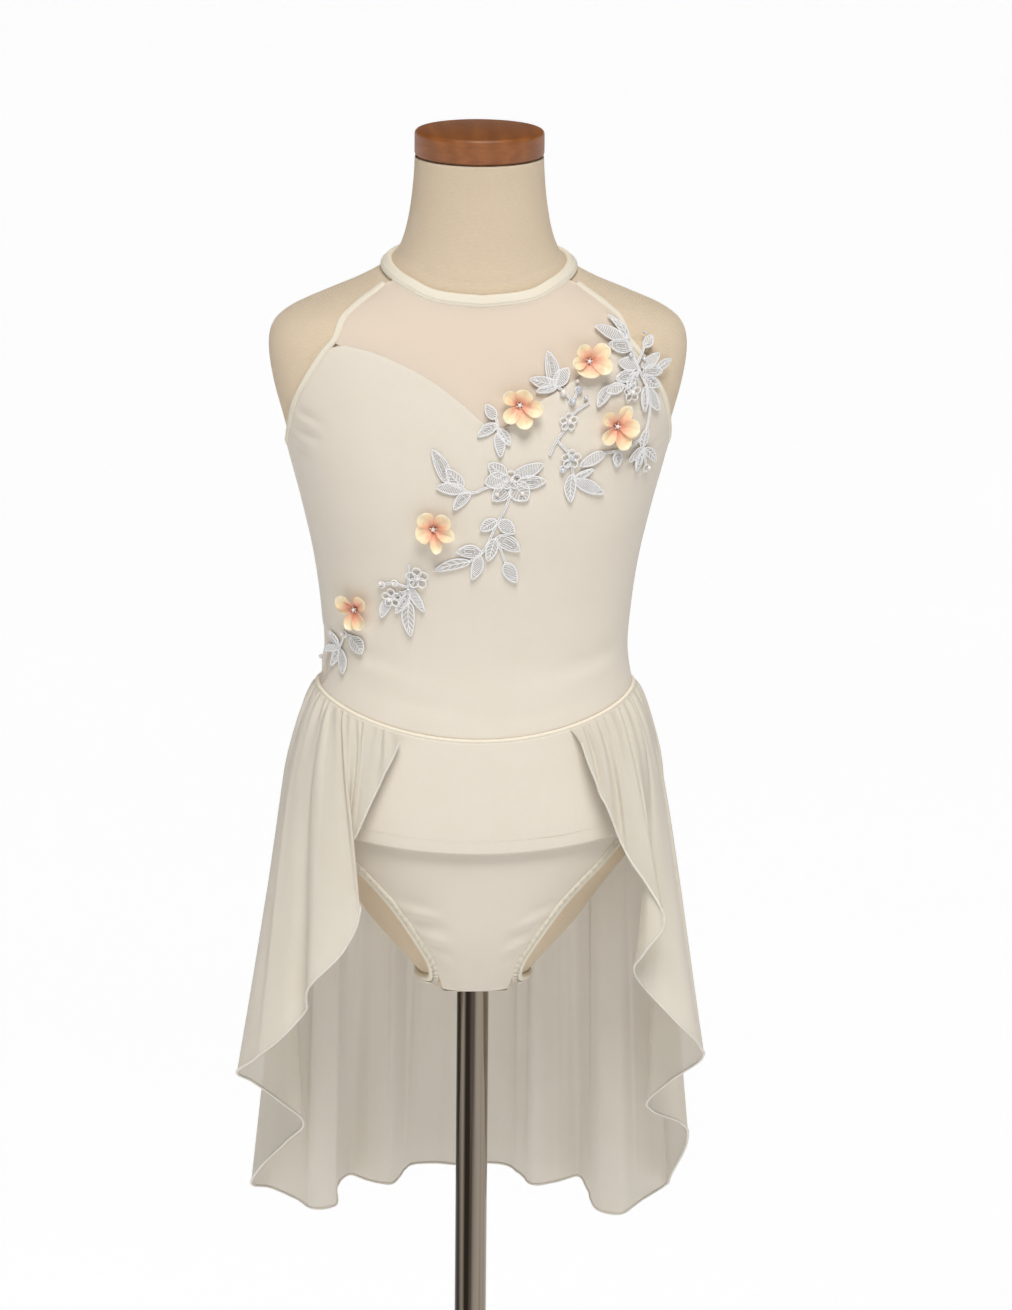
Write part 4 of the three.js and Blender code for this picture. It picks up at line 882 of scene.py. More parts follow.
# Soft drag lines: from turn, from height, to turn, to height, width, lift.
bodiceCreases = [
    (-61, 1076, -48, 1067, 3.2, -1.5),
    (-62, 1070, -49, 1061, 2.6, 0.9),
    (-65, 1062, -50, 1055, 3.0, -1.4),
    (-67, 1055, -53, 1048, 2.6, 0.8),
    (-69, 1047, -57, 1039, 2.8, -1.2),
    (66, 1056, 54, 1047, 3.0, -0.8),
    (70, 1048, 58, 1040, 2.8, -0.7),
    (-70, 905, -30, 893, 7, -0.8),
    (-66, 893, -20, 880, 6, 0.6),
    (68, 902, 28, 888, 7, -0.8),
    (64, 888, 22, 876, 6, 0.6),
    (-50, 872, 5, 858, 6, -0.6),
    (52, 868, 0, 852, 6, -0.5),
]
backCreases = [
    (100, 905, 145, 890, 7, -0.9),
    (104, 890, 150, 878, 6, 0.7),
    (258, 930, 215, 905, 7, -0.8),
    (215, 890, 165, 882, 7, -0.8),
    (100, 1025, 118, 1005, 5, -0.8),
    (258, 1022, 244, 1000, 5, -0.8),
]
briefCreases = [
    (-40, 722, -20, 716, 4.5, -0.8),
    (-37, 713, -17, 708, 3.4, 1.7),
    (-36, 704, -15, 698, 3.8, -1.5),
    (-33, 694, -16, 688, 3.2, 1.7),
    (-31, 685, -16, 679, 3.2, -1.4),
    (-29, 676, -18, 671, 2.8, 1.0),
    (38, 718, 22, 711, 4.0, -0.8),
    (35, 708, 17, 699, 3.6, 1.2),
    (33, 699, 15, 689, 3.6, -1.4),
    (31, 689, 16, 679, 3.2, 1.3),
    (29, 679, 17, 671, 3.0, -1.0),
    (-12, 664, 12, 664, 5.0, -0.8),
    (-48, 760, -30, 744, 5.0, -0.7),
    (50, 762, 32, 746, 5.0, -0.7),
]
seatCreases = [
    (150, 700, 210, 702, 6, -1.0),
    (138, 722, 166, 712, 5, -0.9),
    (222, 722, 194, 712, 5, -0.9),
    (132, 690, 160, 684, 4, -0.8),
    (228, 690, 200, 684, 4, -0.8),
]


def waistHeight(turn):
    side = np.sin(np.asarray(turn, float) * degree) ** 2
    return np.where(np.cos(np.asarray(turn, float) * degree) > 0, 839.5 + 26 * side, 868 - 2.5 * side)


def waistLine(start, end, count, drop=0.0):
    turn = np.linspace(start, end, count)
    return np.stack([turn, waistHeight(turn) + drop], 1)


def mirrored(line):
    return (line * (-1, 1))[::-1]


def neckRing(count):
    turn = np.arange(count) * 360 / count - 180
    return np.stack([turn, smooth(neckLine, "turn", "height")(np.abs(turn))], 1)


def armholeRun(count):
    half = sampled(armholeLine, count)
    left = half * (1, 1) - (360, 0)
    return np.vstack([half * (-1, 1), left[::-1][1:]])


legRing = sampled(legLine, 220, True)
besideArmhole = beside(sampled(armholeLine, 240), sizes["tuck"] - sizes["armhole"] / 2)
besideNeck = beside(neckRing(288), sizes["tuck"] - sizes["neckBand"] / 2)
besideLeg = beside(np.vstack([legRing, legRing[:1]]), sizes["tuck"] - sizes["leg"] / 2)
neckline = sampled(sweetheart, 90)


# The height of a line where its turn has a value. Its turns rise.
def heightOn(line, turn):
    order = np.argsort(line[:, 0])
    return np.interp(turn, line[order, 0], line[order, 1])


def insetArc(angles, grown):
    angles = np.asarray(angles) * degree
    across = inset["turn"] + (inset["halfTurn"] + grown / 2) * np.cos(angles)
    return np.stack([across, inset["height"] + (inset["halfHeight"] + grown) * np.sin(angles)], 1)


insetDrop = inset["height"] - waistHeight(inset["turn"]) - waistEdge
insetFoot = -math.degrees(math.asin(float(insetDrop) / inset["halfHeight"]))


def makeBodiceFront():
    side = sizes["sideSeam"] - 0.1
    underArm = besideArmhole[besideArmhole[:, 1] < 1122]
    turns = np.linspace(underArm[0, 0] + 0.3, side, 50)
    low = np.stack([turns, heightOn(underArm, turns)], 1)
    top = np.vstack([mirrored(low), neckline[1:-1], low])
    arc = insetArc(np.linspace(insetFoot, 90, 40), 0)
    arc[-1, 0] = -side
    left = np.vstack([arc, [[-side, h] for h in np.linspace(920, top[0, 1], 20)]])
    right = np.array([(side, waistHeight(side) + waistEdge), (side, low[-1, 1])])
    bottom = waistLine(left[0, 0], side, 120, waistEdge)
    spots = panelSpots(bottom, top, left, right, 170, 120)
    piece = makePanel("bodiceFront", spots, bodiceCreases)
    place(piece, "spandex", "bodice_front")


def makeBodiceBack():
    side = sizes["sideSeam"] + 0.1
    turns = np.linspace(side, 180, 60)
    half = np.stack([turns, heightOn(besideArmhole[besideArmhole[:, 0] > 85], turns)], 1)
    top = np.vstack([half, (half * (-1, 1) + (360, 0))[::-1][1:]])
    arc = insetArc(180 - np.linspace(insetFoot, 90, 40), 0) + (360, 0)
    arc[-1, 0] = 360 - side
    right = np.vstack([arc, [[360 - side, h] for h in np.linspace(920, top[-1, 1], 20)]])
    left = np.array([(side, waistHeight(side) + waistEdge), (side, top[0, 1])])
    bottom = waistLine(side, right[0, 0], 120, waistEdge)
    spots = panelSpots(bottom, top, left, right, 150, 90)
    piece = makePanel("bodiceBack", spots, backCreases)
    place(piece, "spandex", "bodice_back")


def makeMeshPanels():
    angles = np.linspace(insetFoot, 25, 20)
    left, right = insetArc(180 - angles, 1.5), insetArc(angles, 1.5)
    top = insetArc(np.linspace(155, 25, 40), 1.5)
    bottom = waistLine(left[0, 0], right[0, 0], 30, waistEdge)
    turn, height = panelSpots(bottom, top, left, right, 44, 36)
    lift = creased(turn, height, [(-112, 886, -76, 880, 4, 0.8), (-110, 874, -74, 870, 4, -0.6)])
    points = offSkin(turn, height, 2.0 + lift)
    piece = makeSheet("waistInset", points, "mesh", grain(turn, height))
    sheetSizes["waistInset"] = netSize(points)
    place(piece, "sheer_mesh", "waist_mesh_inset")

    bottom = beside(neckline, -1.5)
    turns = np.linspace(-51.2, 51.2, 90)
    top = np.stack([turns, heightOn(besideNeck, turns)], 1)
    heights = np.linspace(bottom[-1, 1], top[-1, 1], 30)
    high = besideArmhole[besideArmhole[:, 1] > 1120]
    order = np.argsort(high[:, 1])
    right = np.stack([np.interp(heights, high[order, 1], high[order, 0]), heights], 1)
    right[0], right[-1] = bottom[-1], top[-1]
    turn, height = panelSpots(bottom, top, right * (-1, 1), right, 120, 60)
    points = offSkin(turn, height, 2.0 + 0 * turn)
    piece = makeSheet("yokeMesh", points, "mesh", grain(turn, height))
    sheetSizes["yokeMesh"] = netSize(points)
    place(piece, "sheer_mesh", "yoke_mesh")


# Where a band's seam is sewn, as a share of its width, and how wide and how deep that groove is.
grooves = {"neck": (0.3, 0.05, 0.5), "leg": (0.06, 0.045, 0.9)}


def makeBindings():
    inner, outer = sizes["bindingInner"], sizes["bindingOuter"]
    neck = bandProfile(inner, outer + 0.2, grooves["neck"], 22)
    place(makeBand("neckBand", neckRing(220), sizes["neckBand"], neck, True), "spandex", "neck_band")
    armhole = makeBand("armholeBinding", armholeRun(200), sizes["armhole"], bandProfile(inner, outer))
    place(armhole, "spandex", "armhole_binding")
    leg = bandProfile(inner, outer + 0.5, grooves["leg"], 28)
    for name, ring in (("left", legRing), ("right", mirrored(legRing))):
        piece = makeBand(f"legBinding.{name}", ring, sizes["leg"], leg, True)
        place(piece, "spandex", f"leg_binding_{name}")
    angles = np.arange(14) * 2 * math.pi / 14
    middle, radius = sizes["pipingMiddle"], sizes["pipingRadius"]
    cord = [(0.5 * math.sin(a), middle - radius * math.cos(a)) for a in angles]
    piping = makeBand("waistPiping", waistLine(-180, 180, 241)[:-1], sizes["piping"], cord, True)
    place(piping, "spandex", "waist_piping")


def makeBrief():
    leg = besideLeg[besideLeg[:, 1] > brief["legFoot"]]
    top = float(waistHeight(93)) - waistEdge
    for name, node, side, corner, centre, creases, keep in (
        ("briefFront", "brief_front", 92.9, brief["corner"], 0, briefCreases, leg[:, 0] < 91),
        ("briefBack", "brief_back", 93.1, 180 - brief["corner"], 360, seatCreases, leg[:, 0] > 95),
    ):
        edge = leg[keep]
        edge = edge[np.argsort(edge[:, 1])]
        seam = [(side, h) for h in np.linspace(803.4, top, 12)]
        edge = np.vstack([[(corner, brief["foot"])], edge, seam])
        left, right = sorted([edge, edge * (-1, 1) + (centre, 0)], key=lambda line: line[0, 0])
        bottom = np.linspace(left[0], right[0], 20)
        crest = waistLine(left[-1, 0], right[-1, 0], 60, -waistEdge)
        spots = panelSpots(bottom, crest, left, right, 130, 120)
        place(makePanel(name, spots, creases), "spandex", node)


hip = {
    "sideGap": 3, "hem": 759, "hemRise": 16, "near": 3.3, "swell": 3.6, "wall": 1.2, "columns": 140, "rows": 50,
    "stitchRow": 6, "stitchPitch": 2.4, "stitchSize": (0.3, 0.3, 1.9),
}
hipCreases = [
    (-40, 835, -34, 770, 9, -0.7),
    (22, 832, 26, 765, 10, -0.6),
    (48, 840, 44, 775, 8, 0.6),
]


def makeHipPanel():
    side = sizes["sideSeam"] - hip["sideGap"]
    top = waistLine(-side, side, 80, -sizes["seamTop"])
    bottom = np.stack([top[:, 0], hip["hem"] + hip["hemRise"] * np.sin(top[:, 0] * degree) ** 2], 1)
    left, right = np.array([bottom[0], top[0]]), np.array([bottom[-1], top[-1]])
    turn, height = panelSpots(bottom, top, left, right, hip["columns"], hip["rows"])
    inner = hip["near"] + hip["swell"] * (1 - np.linspace(0, 1, hip["rows"] + 1)) ** 2
    soft = creased(turn, height, hipCreases)
    inside = offSkin(turn, height, inner + soft)
    outside = offSkin(turn, height, inner + hip["wall"] + soft)
    place(makeWall("hipPanel", inside, outside, "jersey", grain(turn, height)), "spandex", "hip_panel")
    sheetSizes["hipPanel"] = netSize(outside)
    row = hip["stitchRow"]
    line = np.stack([turn[:, row], height[:, row]], 1)[3:-3]
    thread = offSkin(*line.T, inner[row] + hip["wall"] + 0.05)
    hem = makeStitches("hipPanelHemStitches", [thread], "stitchThread", hip["stitchPitch"], hip["stitchSize"])
    place(hem, "spandex")


gusset = {"halfWidth": 24, "halfLength": 33, "hole": 12.5, "squareness": 12, "low": 642.7, "high": 643.9}


def makeGusset():
    angles = -np.arange(96) * 2 * np.pi / 96
    way = np.stack([np.cos(angles), np.sin(angles)], 1)
    sides = np.abs(way) / (gusset["halfWidth"], gusset["halfLength"])
    reach = (sides ** gusset["squareness"]).sum(1) ** (-1 / gusset["squareness"])
    out = np.linspace(0, 1, 13)[None, :, None]
    flat = way[:, None] * (gusset["hole"] + (reach[:, None, None] - gusset["hole"]) * out)
    edge = 0.3 * np.clip((out - 0.9) / 0.1, 0, 1)
    low = np.concatenate([flat, gusset["low"] + edge + 0 * flat[..., :1]], -1)
    high = np.concatenate([flat, gusset["high"] - edge + 0 * flat[..., :1]], -1)
    place(makeWall("crotchGusset", low, high, "jersey", flat, True), "spandex", "gusset")
    sheetSizes["crotchGusset"] = (2 * gusset["halfWidth"], 2 * gusset["halfLength"])


# A zigzag of thread along a line: it swings between two distances to the line's side.
def zigzag(line, off, near, far, pitch):
    length = np.linalg.norm(np.diff(skin(*line.T), axis=0), axis=1).sum()
    count = int(length / pitch)
    fine = resample(line, count)
    sides = beside(fine, near), beside(fine, far)
    points = np.where((np.arange(count) % 2)[:, None], sides[0], sides[1])
    points[:, 1] = np.maximum(points[:, 1], stitches["zigzagFoot"])
    return offSkin(*points.T, off + 0 * points[:, 0])


stitches = {"twin": 2.4, "length": 1.8, "thick": 0.3, "zigzag": 2.0, "zigzagThread": 0.5, "zigzagFoot": 651}


def makeStitching():
    size = (stitches["thick"], stitches["thick"], stitches["length"])
    band, outer = sizes["neckBand"], sizes["bindingOuter"]
    ring = neckRing(400)
    ring = np.vstack([ring, ring[:1] + (360, 0)])
    rows = [offSkin(*beside(ring, k * band).T, outer + 0.28 + 0 * ring[:, 0]) for k in (-0.3, -0.18)]
    place(makeStitches("neckBandStitches", rows, "stitchThread", stitches["twin"], size), "spandex")
    run = armholeRun(300)
    rows = [offSkin(*beside(run, k).T, outer - 0.02 + 0 * run[:, 0]) for k in (-1.4, 1.4)]
    place(makeStitches("armholeStitches", rows, "stitchThread", stitches["twin"], size), "spandex")
    leg = sizes["leg"]
    threads, rows = [], []
    for ring in (legRing, mirrored(legRing)):
        loop = np.vstack([ring, ring[:1]])
        threads.append((zigzag(loop, outer + 0.5, -0.4 * leg, -0.04 * leg, stitches["zigzag"]),
                        stitches["zigzagThread"], False))
        rows.append(offSkin(*beside(loop, 0.3 * leg).T, outer + 0.38 + 0 * loop[:, 0]))
    place(makeCords("legBindingZigzag", threads, "stitchThread", 5), "spandex")
    place(makeStitches("legBindingStitches", rows, "stitchThread", stitches["twin"], size), "spandex")


# Every piece of the leotard's cloth, how it is held, what it lies on, and how far it is stretched.
def declareLeotard():
    trims = {
        "bodiceFront": ["armholeBinding", "armholeStitches", "waistPiping"],
        "yokeMesh": ["neckBand", "neckBandStitches"],
        "briefFront": ["legBinding.left", "legBinding.right", "legBindingZigzag", "legBindingStitches"],
        "hipPanel": ["hipPanelHemStitches"],
    }
    for name, held, under, grown in (
        ("bodiceFront", "stretched", "linenTorso", 1.08), ("bodiceBack", "stretched", "linenTorso", 1.08),
        ("yokeMesh", "stretched", "linenTorso", 1.05), ("waistInset", "stretched", "linenTorso", 1.05),
        ("briefFront", "stretched", "linenTorso", 1.08), ("briefBack", "stretched", "linenTorso", 1.08),
        ("crotchGusset", "stretched", "linenTorso", 1.04), ("hipPanel", "draped", "briefFront", 1.0),
    ):
        extra = [pieces[trim] for trim in trims.get(name, [])]
        declareSheet(pieces[name], held, under, *sheetSizes[name], grown, extra)


makeBodiceFront()
makeBodiceBack()
makeMeshPanels()
makeBindings()
makeBrief()
makeGusset()
makeHipPanel()
makeStitching()
declareLeotard()
stage("leotard")


skirt = {
    "inner": 5.2, "wall": 1.3, "bellDrop": 36, "bellShare": 0.5, "fullDrop": 400, "foldOpening": 1.3,
    "foldReach": 3, "columns": 720, "rows": 96, "gatherPitch": 7.4, "gatherHeight": 1.0, "gatherDrop": 34,
    "hemRadius": 0.9, "seamDrop": 2.0, "tuckIn": 1.9, "tuckUp": 1.1, "tuckFade": 2.6, "pleatPitch": 17,
    "pleatHeight": 4.2, "pleatEdge": 0.2, "pleatDrop": 60, "waveHeight": 1.2, "waveDrop": 120, "bunching": 1.15,
}
hipClearance = {"seam": 6, "full": 10, "drop": 50, "blend": 5}

# A row for each fold: the angle where it leaves the waist seam, and where the hem is.
folds = table(
    "seam x y z",
    (-29, -57, -80, 839), (-35, -73, -83, 807), (-41, -88, -84, 773), (-46, -96, -80, 756),
    (-50, -93, -88, 738), (-54, -86, -98, 718), (-58, -98, -104, 692), (-62, -122, -98, 664),
    (-65, -124, -82, 643), (-69, -140, -76, 622), (-75, -160, -60, 601), (-82, -172, -32, 583),
    (-88, -160, -10, 570), (-93, -138, 0, 551), (-97, -122, 8, 534), (-101, -134, 26, 515),
    (-106, -152, 50, 489), (-112, -158, 78, 467), (-118, -144, 100, 458), (-124, -126, 92, 452),
    (-129, -112, 78, 448), (-134, -97, 82, 449), (-139, -94, 112, 455), (-144, -84, 134, 458),
    (-149, -70, 124, 456), (-154, -55, 118, 455), (-159, -46, 134, 457), (-165, -38, 158, 458),
    (-172, -20, 164, 458), (-179, -2, 158, 458), (-186, 14, 163, 458), (-193, 32, 158, 458),
    (-199, 42, 140, 457), (-205, 52, 118, 454), (-211, 70, 122, 455), (-217, 86, 130, 457),
    (-222, 92, 106, 452), (-227, 98, 76, 446), (-232, 114, 66, 446), (-237, 130, 82, 452),
    (-243, 148, 92, 460), (-249, 152, 66, 478), (-255, 160, 36, 510), (-260, 156, 18, 528),
    (-264, 132, 6, 542), (-268, 128, -8, 553), (-272, 144, -22, 573), (-278, 164, -42, 594),
    (-284, 160, -66, 612), (-290, 140, -78, 635), (-295, 112, -80, 670), (-299, 118, -96, 688),
    (-303, 132, -100, 712), (-308, 120, -92, 737), (-313, 106, -84, 757), (-319, 93, -84, 787),
    (-325, 80, -82, 817), (-328, 72, -78, 838),
)
lastFold = len(folds["seam"]) - 1
folds["fold"] = np.arange(lastFold + 1.0)
seamAt = smooth(folds, "fold", "seam")
hemCurve = curveThrough(np.stack([folds[k] for k in "xyz"], 1))


def hemAt(fold):
    return hemCurve(np.clip(fold, 0, lastFold))


def plainHemAt(fold):
    reach = np.minimum(skirt["foldReach"], np.minimum(fold, lastFold - fold))
    steps = range(-skirt["foldReach"], skirt["foldReach"] + 1)
    return sum(hemAt(fold + k * reach / skirt["foldReach"]) for k in steps) / len(steps)


def bell(drop):
    settled = 1 - np.exp(-drop / skirt["bellDrop"])
    return (1 - skirt["bellShare"]) * drop / skirt["fullDrop"] + skirt["bellShare"] * settled


# Points of the skirt moved out where they would pass through the hips or the hip panel.
def overHips(points, drop):
    x, y, z = points[..., 0], points[..., 1], points[..., 2]
    power = squareAt(z)
    depth = np.where(y < 0, frontAt(z), backAt(z))
    reach = np.hypot(x, y)
    across = np.abs(x / reach / halfAt(z)) ** power
    ahead = np.abs(y / reach / depth) ** power
    settled = np.minimum(drop / hipClearance["drop"], 1)
    clear = hipClearance["seam"] + (hipClearance["full"] - hipClearance["seam"]) * settled
    least = (across + ahead) ** (-1 / power) + clear
    blend = hipClearance["blend"] * settled + 0.01
    near = np.maximum(blend - np.abs(reach - least), 0) / blend
    moved = np.maximum(reach, least) + near ** 2 * blend / 4
    scale = np.where(z < 645, 1, moved / reach)
    return np.stack([x * scale, y * scale, z], -1)


def skirtPoints(fold, share):
    seam = seamAt(fold)
    middle = skirt["inner"] + skirt["wall"] / 2
    top = offSkin(seam, waistHeight(seam) - skirt["seamDrop"], middle + 0 * seam)[:, None]
    hem, plain = hemAt(fold)[:, None], plainHemAt(fold)[:, None]
    share = share[None, :, None]
    drop = top[..., 2:] - hem[..., 2:]
    out = bell(drop * share) / bell(drop)
    points = top + (plain - top) * out + (hem - plain) * share ** skirt["foldOpening"]
    fallen = drop * share
    points[..., 2:] = top[..., 2:] - fallen
    return overHips(points, fallen[..., 0]), fallen[..., 0]


def netNormals(points):
    return unit(np.cross(np.gradient(points, axis=0), np.gradient(points, axis=1)))


# How far the cloth stands out: its gathers at the seam, slower waves under them, and soft pleats down it.
def fullness(along, share, fallen):
    maker = np.random.default_rng(4)
    wander = np.interp(along, np.linspace(0, along[-1], 60), maker.uniform(-1, 1, 60))
    strength = np.interp(along, np.linspace(0, along[-1], 90), maker.uniform(0.35, 1.25, 90))
    phase = 2 * np.pi * along / skirt["gatherPitch"] + 2.2 * wander
    fade = np.exp(-((fallen / skirt["gatherDrop"]) ** 1.1)) * np.minimum(fallen / 2.0, 1)
    gather = skirt["gatherHeight"] * (np.sin(phase) * strength)[:, None] * fade
    fade = np.exp(-fallen / skirt["waveDrop"]) * np.minimum(fallen / 12, 1)
    wave = skirt["waveHeight"] * np.sin(phase / 2.6 + 1.3 * wander)[:, None] * fade
    turned = (along / skirt["pleatPitch"] + 0.35 * wander) % 1
    step = np.clip((turned - 1 + skirt["pleatEdge"]) / skirt["pleatEdge"], 0, 1)
    rise = (turned - step * step * (3 - 2 * step) - 0.4) * strength
    fade = np.minimum(fallen / skirt["pleatDrop"], 1) * np.clip(1.3 - share[None] ** 2, 0, 1)
    return gather + wave + skirt["pleatHeight"] * rise[:, None] * fade


def makeSkirt():
    fold = np.linspace(0, lastFold, skirt["columns"] + 1)
    share = np.linspace(0, 1, skirt["rows"] + 1) ** skirt["bunching"]
    points, fallen = skirtPoints(fold, share)
    points = points + netNormals(points) * fullness(runAlong(points[:, 0]), share, fallen)[..., None]
    tucked = np.exp(-fallen / skirt["tuckFade"])
    out = skinFrame(seamAt(fold), waistHeight(seamAt(fold)))[2][:, None]
    points = points - out * (skirt["tuckIn"] * tucked)[..., None]
    points[..., 2] += skirt["tuckUp"] * tucked
    length = np.stack([runAlong(column) for column in points])
    along = runAlong(points[:, -1])
    spots = np.stack([np.broadcast_to(along[:, None], length.shape), length], -1)
    piece = place(makeSheet("skirtChiffon", points, "chiffon", spots), "chiffon", "skirt")
    rolled = [(points[:, -1], skirt["hemRadius"], False)]
    hem = place(makeCords("skirtRolledHem", rolled, "hemThread", 8), "chiffon")
    flat = (along[-1] * mm, float(length.max()) * mm)
    across, down = points[1:, :-1] - points[:-1, :-1], points[:-1, 1:] - points[:-1, :-1]
    area = float(np.linalg.norm(np.cross(across, down), axis=2).sum()) * mm * mm
    stage(f"skirt hem {flat[0]:.3f} m, length {flat[1]:.3f} m, area {area:.4f} m2")


makeSkirt()

# A leaf is (turn, height, length, width, lean): it starts at a spot and points along its lean, in degrees from
# the way round the body. A stem runs through its spots. A round is (turn, height, width), a small bead seat.
laceSprays = {
    "shoulder": {
        "lift": 3.6,
        "leaves": [
            (41, 1126, 17, 6, 95), (40, 1127, 19, 9, 150), (42, 1121, 17, 9, 170), (46, 1121, 11, 6, 35),
            (45, 1107, 17, 8, 30), (45.5, 1104, 17, 8, -5), (46, 1101, 17, 8, -30), (43.5, 1107, 15, 9, 160),
            (42.5, 1104, 14, 8, -165), (43, 1104, 12, 7, -115), (48, 1092, 22, 8, -50), (47, 1093, 18, 6, -80),
            (50.5, 1104, 15, 6, 25), (39.5, 1095, 13, 8, -165), (35.5, 1096, 17, 8, -120),
            (51, 1050, 14, 7, 90), (51.3, 1050, 14, 6, -140), (51, 1048, 15, 6, -95), (52, 1049, 20, 6, -35),
            (36.5, 1049, 19, 8, -155), (40.5, 1049, 11, 7, -75),
        ],
        "stems": [
            [[40.5, 1128], [41.5, 1118], [44, 1106], [47.5, 1094]],
            [[44, 1106], [42, 1090], [39, 1096], [35, 1096]],
            [[47.5, 1094], [50, 1084], [51, 1070], [51, 1053], [52.5, 1046], [55, 1036]],
            [[46.5, 1122], [43.5, 1110]],
            [[51, 1058], [46, 1053], [41, 1050], [35.5, 1049]],
        ],
        "rounds": [(42.5, 1090, 8), (55.5, 1034, 6)],
    },
    "neckline": {
        "lift": 2.9,
        "leaves": [
            (19, 1097, 25, 9, 100), (20, 1097, 20, 8, 165), (19.5, 1097, 15, 10, 55), (20, 1096, 15, 5, -170),
        ],
        "stems": [
            [[19, 1098], [22, 1093], [24.5, 1087], [26, 1094]],
        ],
        "rounds": [(22, 1092, 5), (24.5, 1086, 5), (26, 1094, 5)],
    },
    "collar": {
        "lift": 2.9,
        "leaves": [
            (3.5, 1075, 12, 7, 125), (4, 1071, 16, 7, -150), (4.5, 1068, 14, 6, -55), (4, 1065, 17, 7, -80),
        ],
        "stems": [
            [[3.5, 1076], [4, 1071], [4.5, 1062]],
        ],
        "rounds": [],
    },
    "stem": {
        "lift": 2.9,
        "leaves": [
            (27, 1035, 20, 8, -85), (28, 1031, 27, 8, -25), (28, 1032, 14, 5, 25),
        ],
        "stems": [
            [[29.5, 1085], [25.5, 1078], [24, 1070], [21, 1058], [19.5, 1049]],
            [[21.5, 1059], [26, 1047], [27, 1037], [28.5, 1030]],
            [[26, 1044], [24, 1038]],
        ],
        "rounds": [(24, 1072, 8), (26, 1046, 9), (24, 1039, 5)],
    },
    "centre": {
        "lift": 2.9,
        "leaves": [
            (-11, 1030, 25, 9, 110), (-6, 1027, 17, 9, 130), (-5.5, 1025, 20, 8, 175), (-4, 1023, 17, 7, -135),
            (7, 1035, 15, 10, 145), (7.5, 1032, 16, 12, -175), (8, 1029, 16, 11, -135),
            (9.5, 1030, 16, 14, -50), (9.5, 1036, 21, 9, 20), (10.5, 1031, 20, 9, 0), (4.5, 1003, 13, 8, -150),
            (5.5, 1003, 14, 9, -40), (4.5, 991, 20, 10, -30), (4, 990, 17, 8, -105), (8, 972, 17, 9, -60),
            (0, 979, 18, 9, 175), (-4, 973, 26, 7, -165), (-1, 978, 19, 8, -105),
        ],
        "stems": [
            [[8.5, 1033], [1.5, 1027], [-3.5, 1023], [-8.5, 1028], [-11.5, 1031]],
            [[8.5, 1033], [8, 1017], [4.5, 1000], [0, 980], [-5, 972]],
            [[4.5, 991], [8.5, 970]],
        ],
        "rounds": [(8.5, 1032, 9)],
    },
    "hip": {
        "lift": 2.9,
        "leaves": [
            (-26, 953, 21, 6, -60), (-25.5, 949, 20, 6, -125), (-26, 942, 26, 9, -90),
            (-32.5, 944, 18, 7, -120),
        ],
        "stems": [
            [[-25, 970], [-26, 953], [-26, 940]],
            [[-36, 953], [-31.5, 955], [-26, 953], [-22.5, 960]],
            [[-32.5, 944], [-26.5, 950]],
        ],
        "rounds": [(-22.5, 960, 11), (-32.5, 944, 9), (-36, 953, 5), (-31, 955, 5)],
    },
    "waist": {
        "lift": 2.9,
        "leaves": [
            (-53, 910, 14, 12, -50), (-61, 899, 19, 8, -75), (-62, 898, 16, 7, -120), (-61.5, 900, 15, 6, 140),
            (-61.5, 899, 24, 5, -165),
        ],
        "stems": [
            [[-52, 911], [-56, 911], [-61.5, 899]],
        ],
        "rounds": [(-57, 911, 5)],
    },
}
laceSizes = {
    "middle": 0.9, "edgeCord": 0.62, "innerCord": 0.38, "rib": 0.46, "vein": 0.32, "stem": 0.5,
    "stemApart": 0.55, "satin": 1.5, "crown": 0.45, "tipLift": 0.7, "bend": 0.06, "seed": 0.62,
}


# Spots moved over the surface by millimetres along and across a lean.
def movedSpots(turn, height, lean, along, across):
    around, up = skinFrame(turn, height)[:2]
    ahead, aside = math.cos(lean * degree), math.sin(lean * degree)
    newTurn = turn + (along * ahead - across * aside) / np.linalg.norm(around)
    return newTurn, height + (along * aside + across * ahead) / np.linalg.norm(up)


# How wide a leaf is along its length, for each millimetre of its width.
def leafHalf(s):
    return 0.5 * np.sin(np.pi * np.clip(s, 0, 1) ** 0.85) ** 0.7


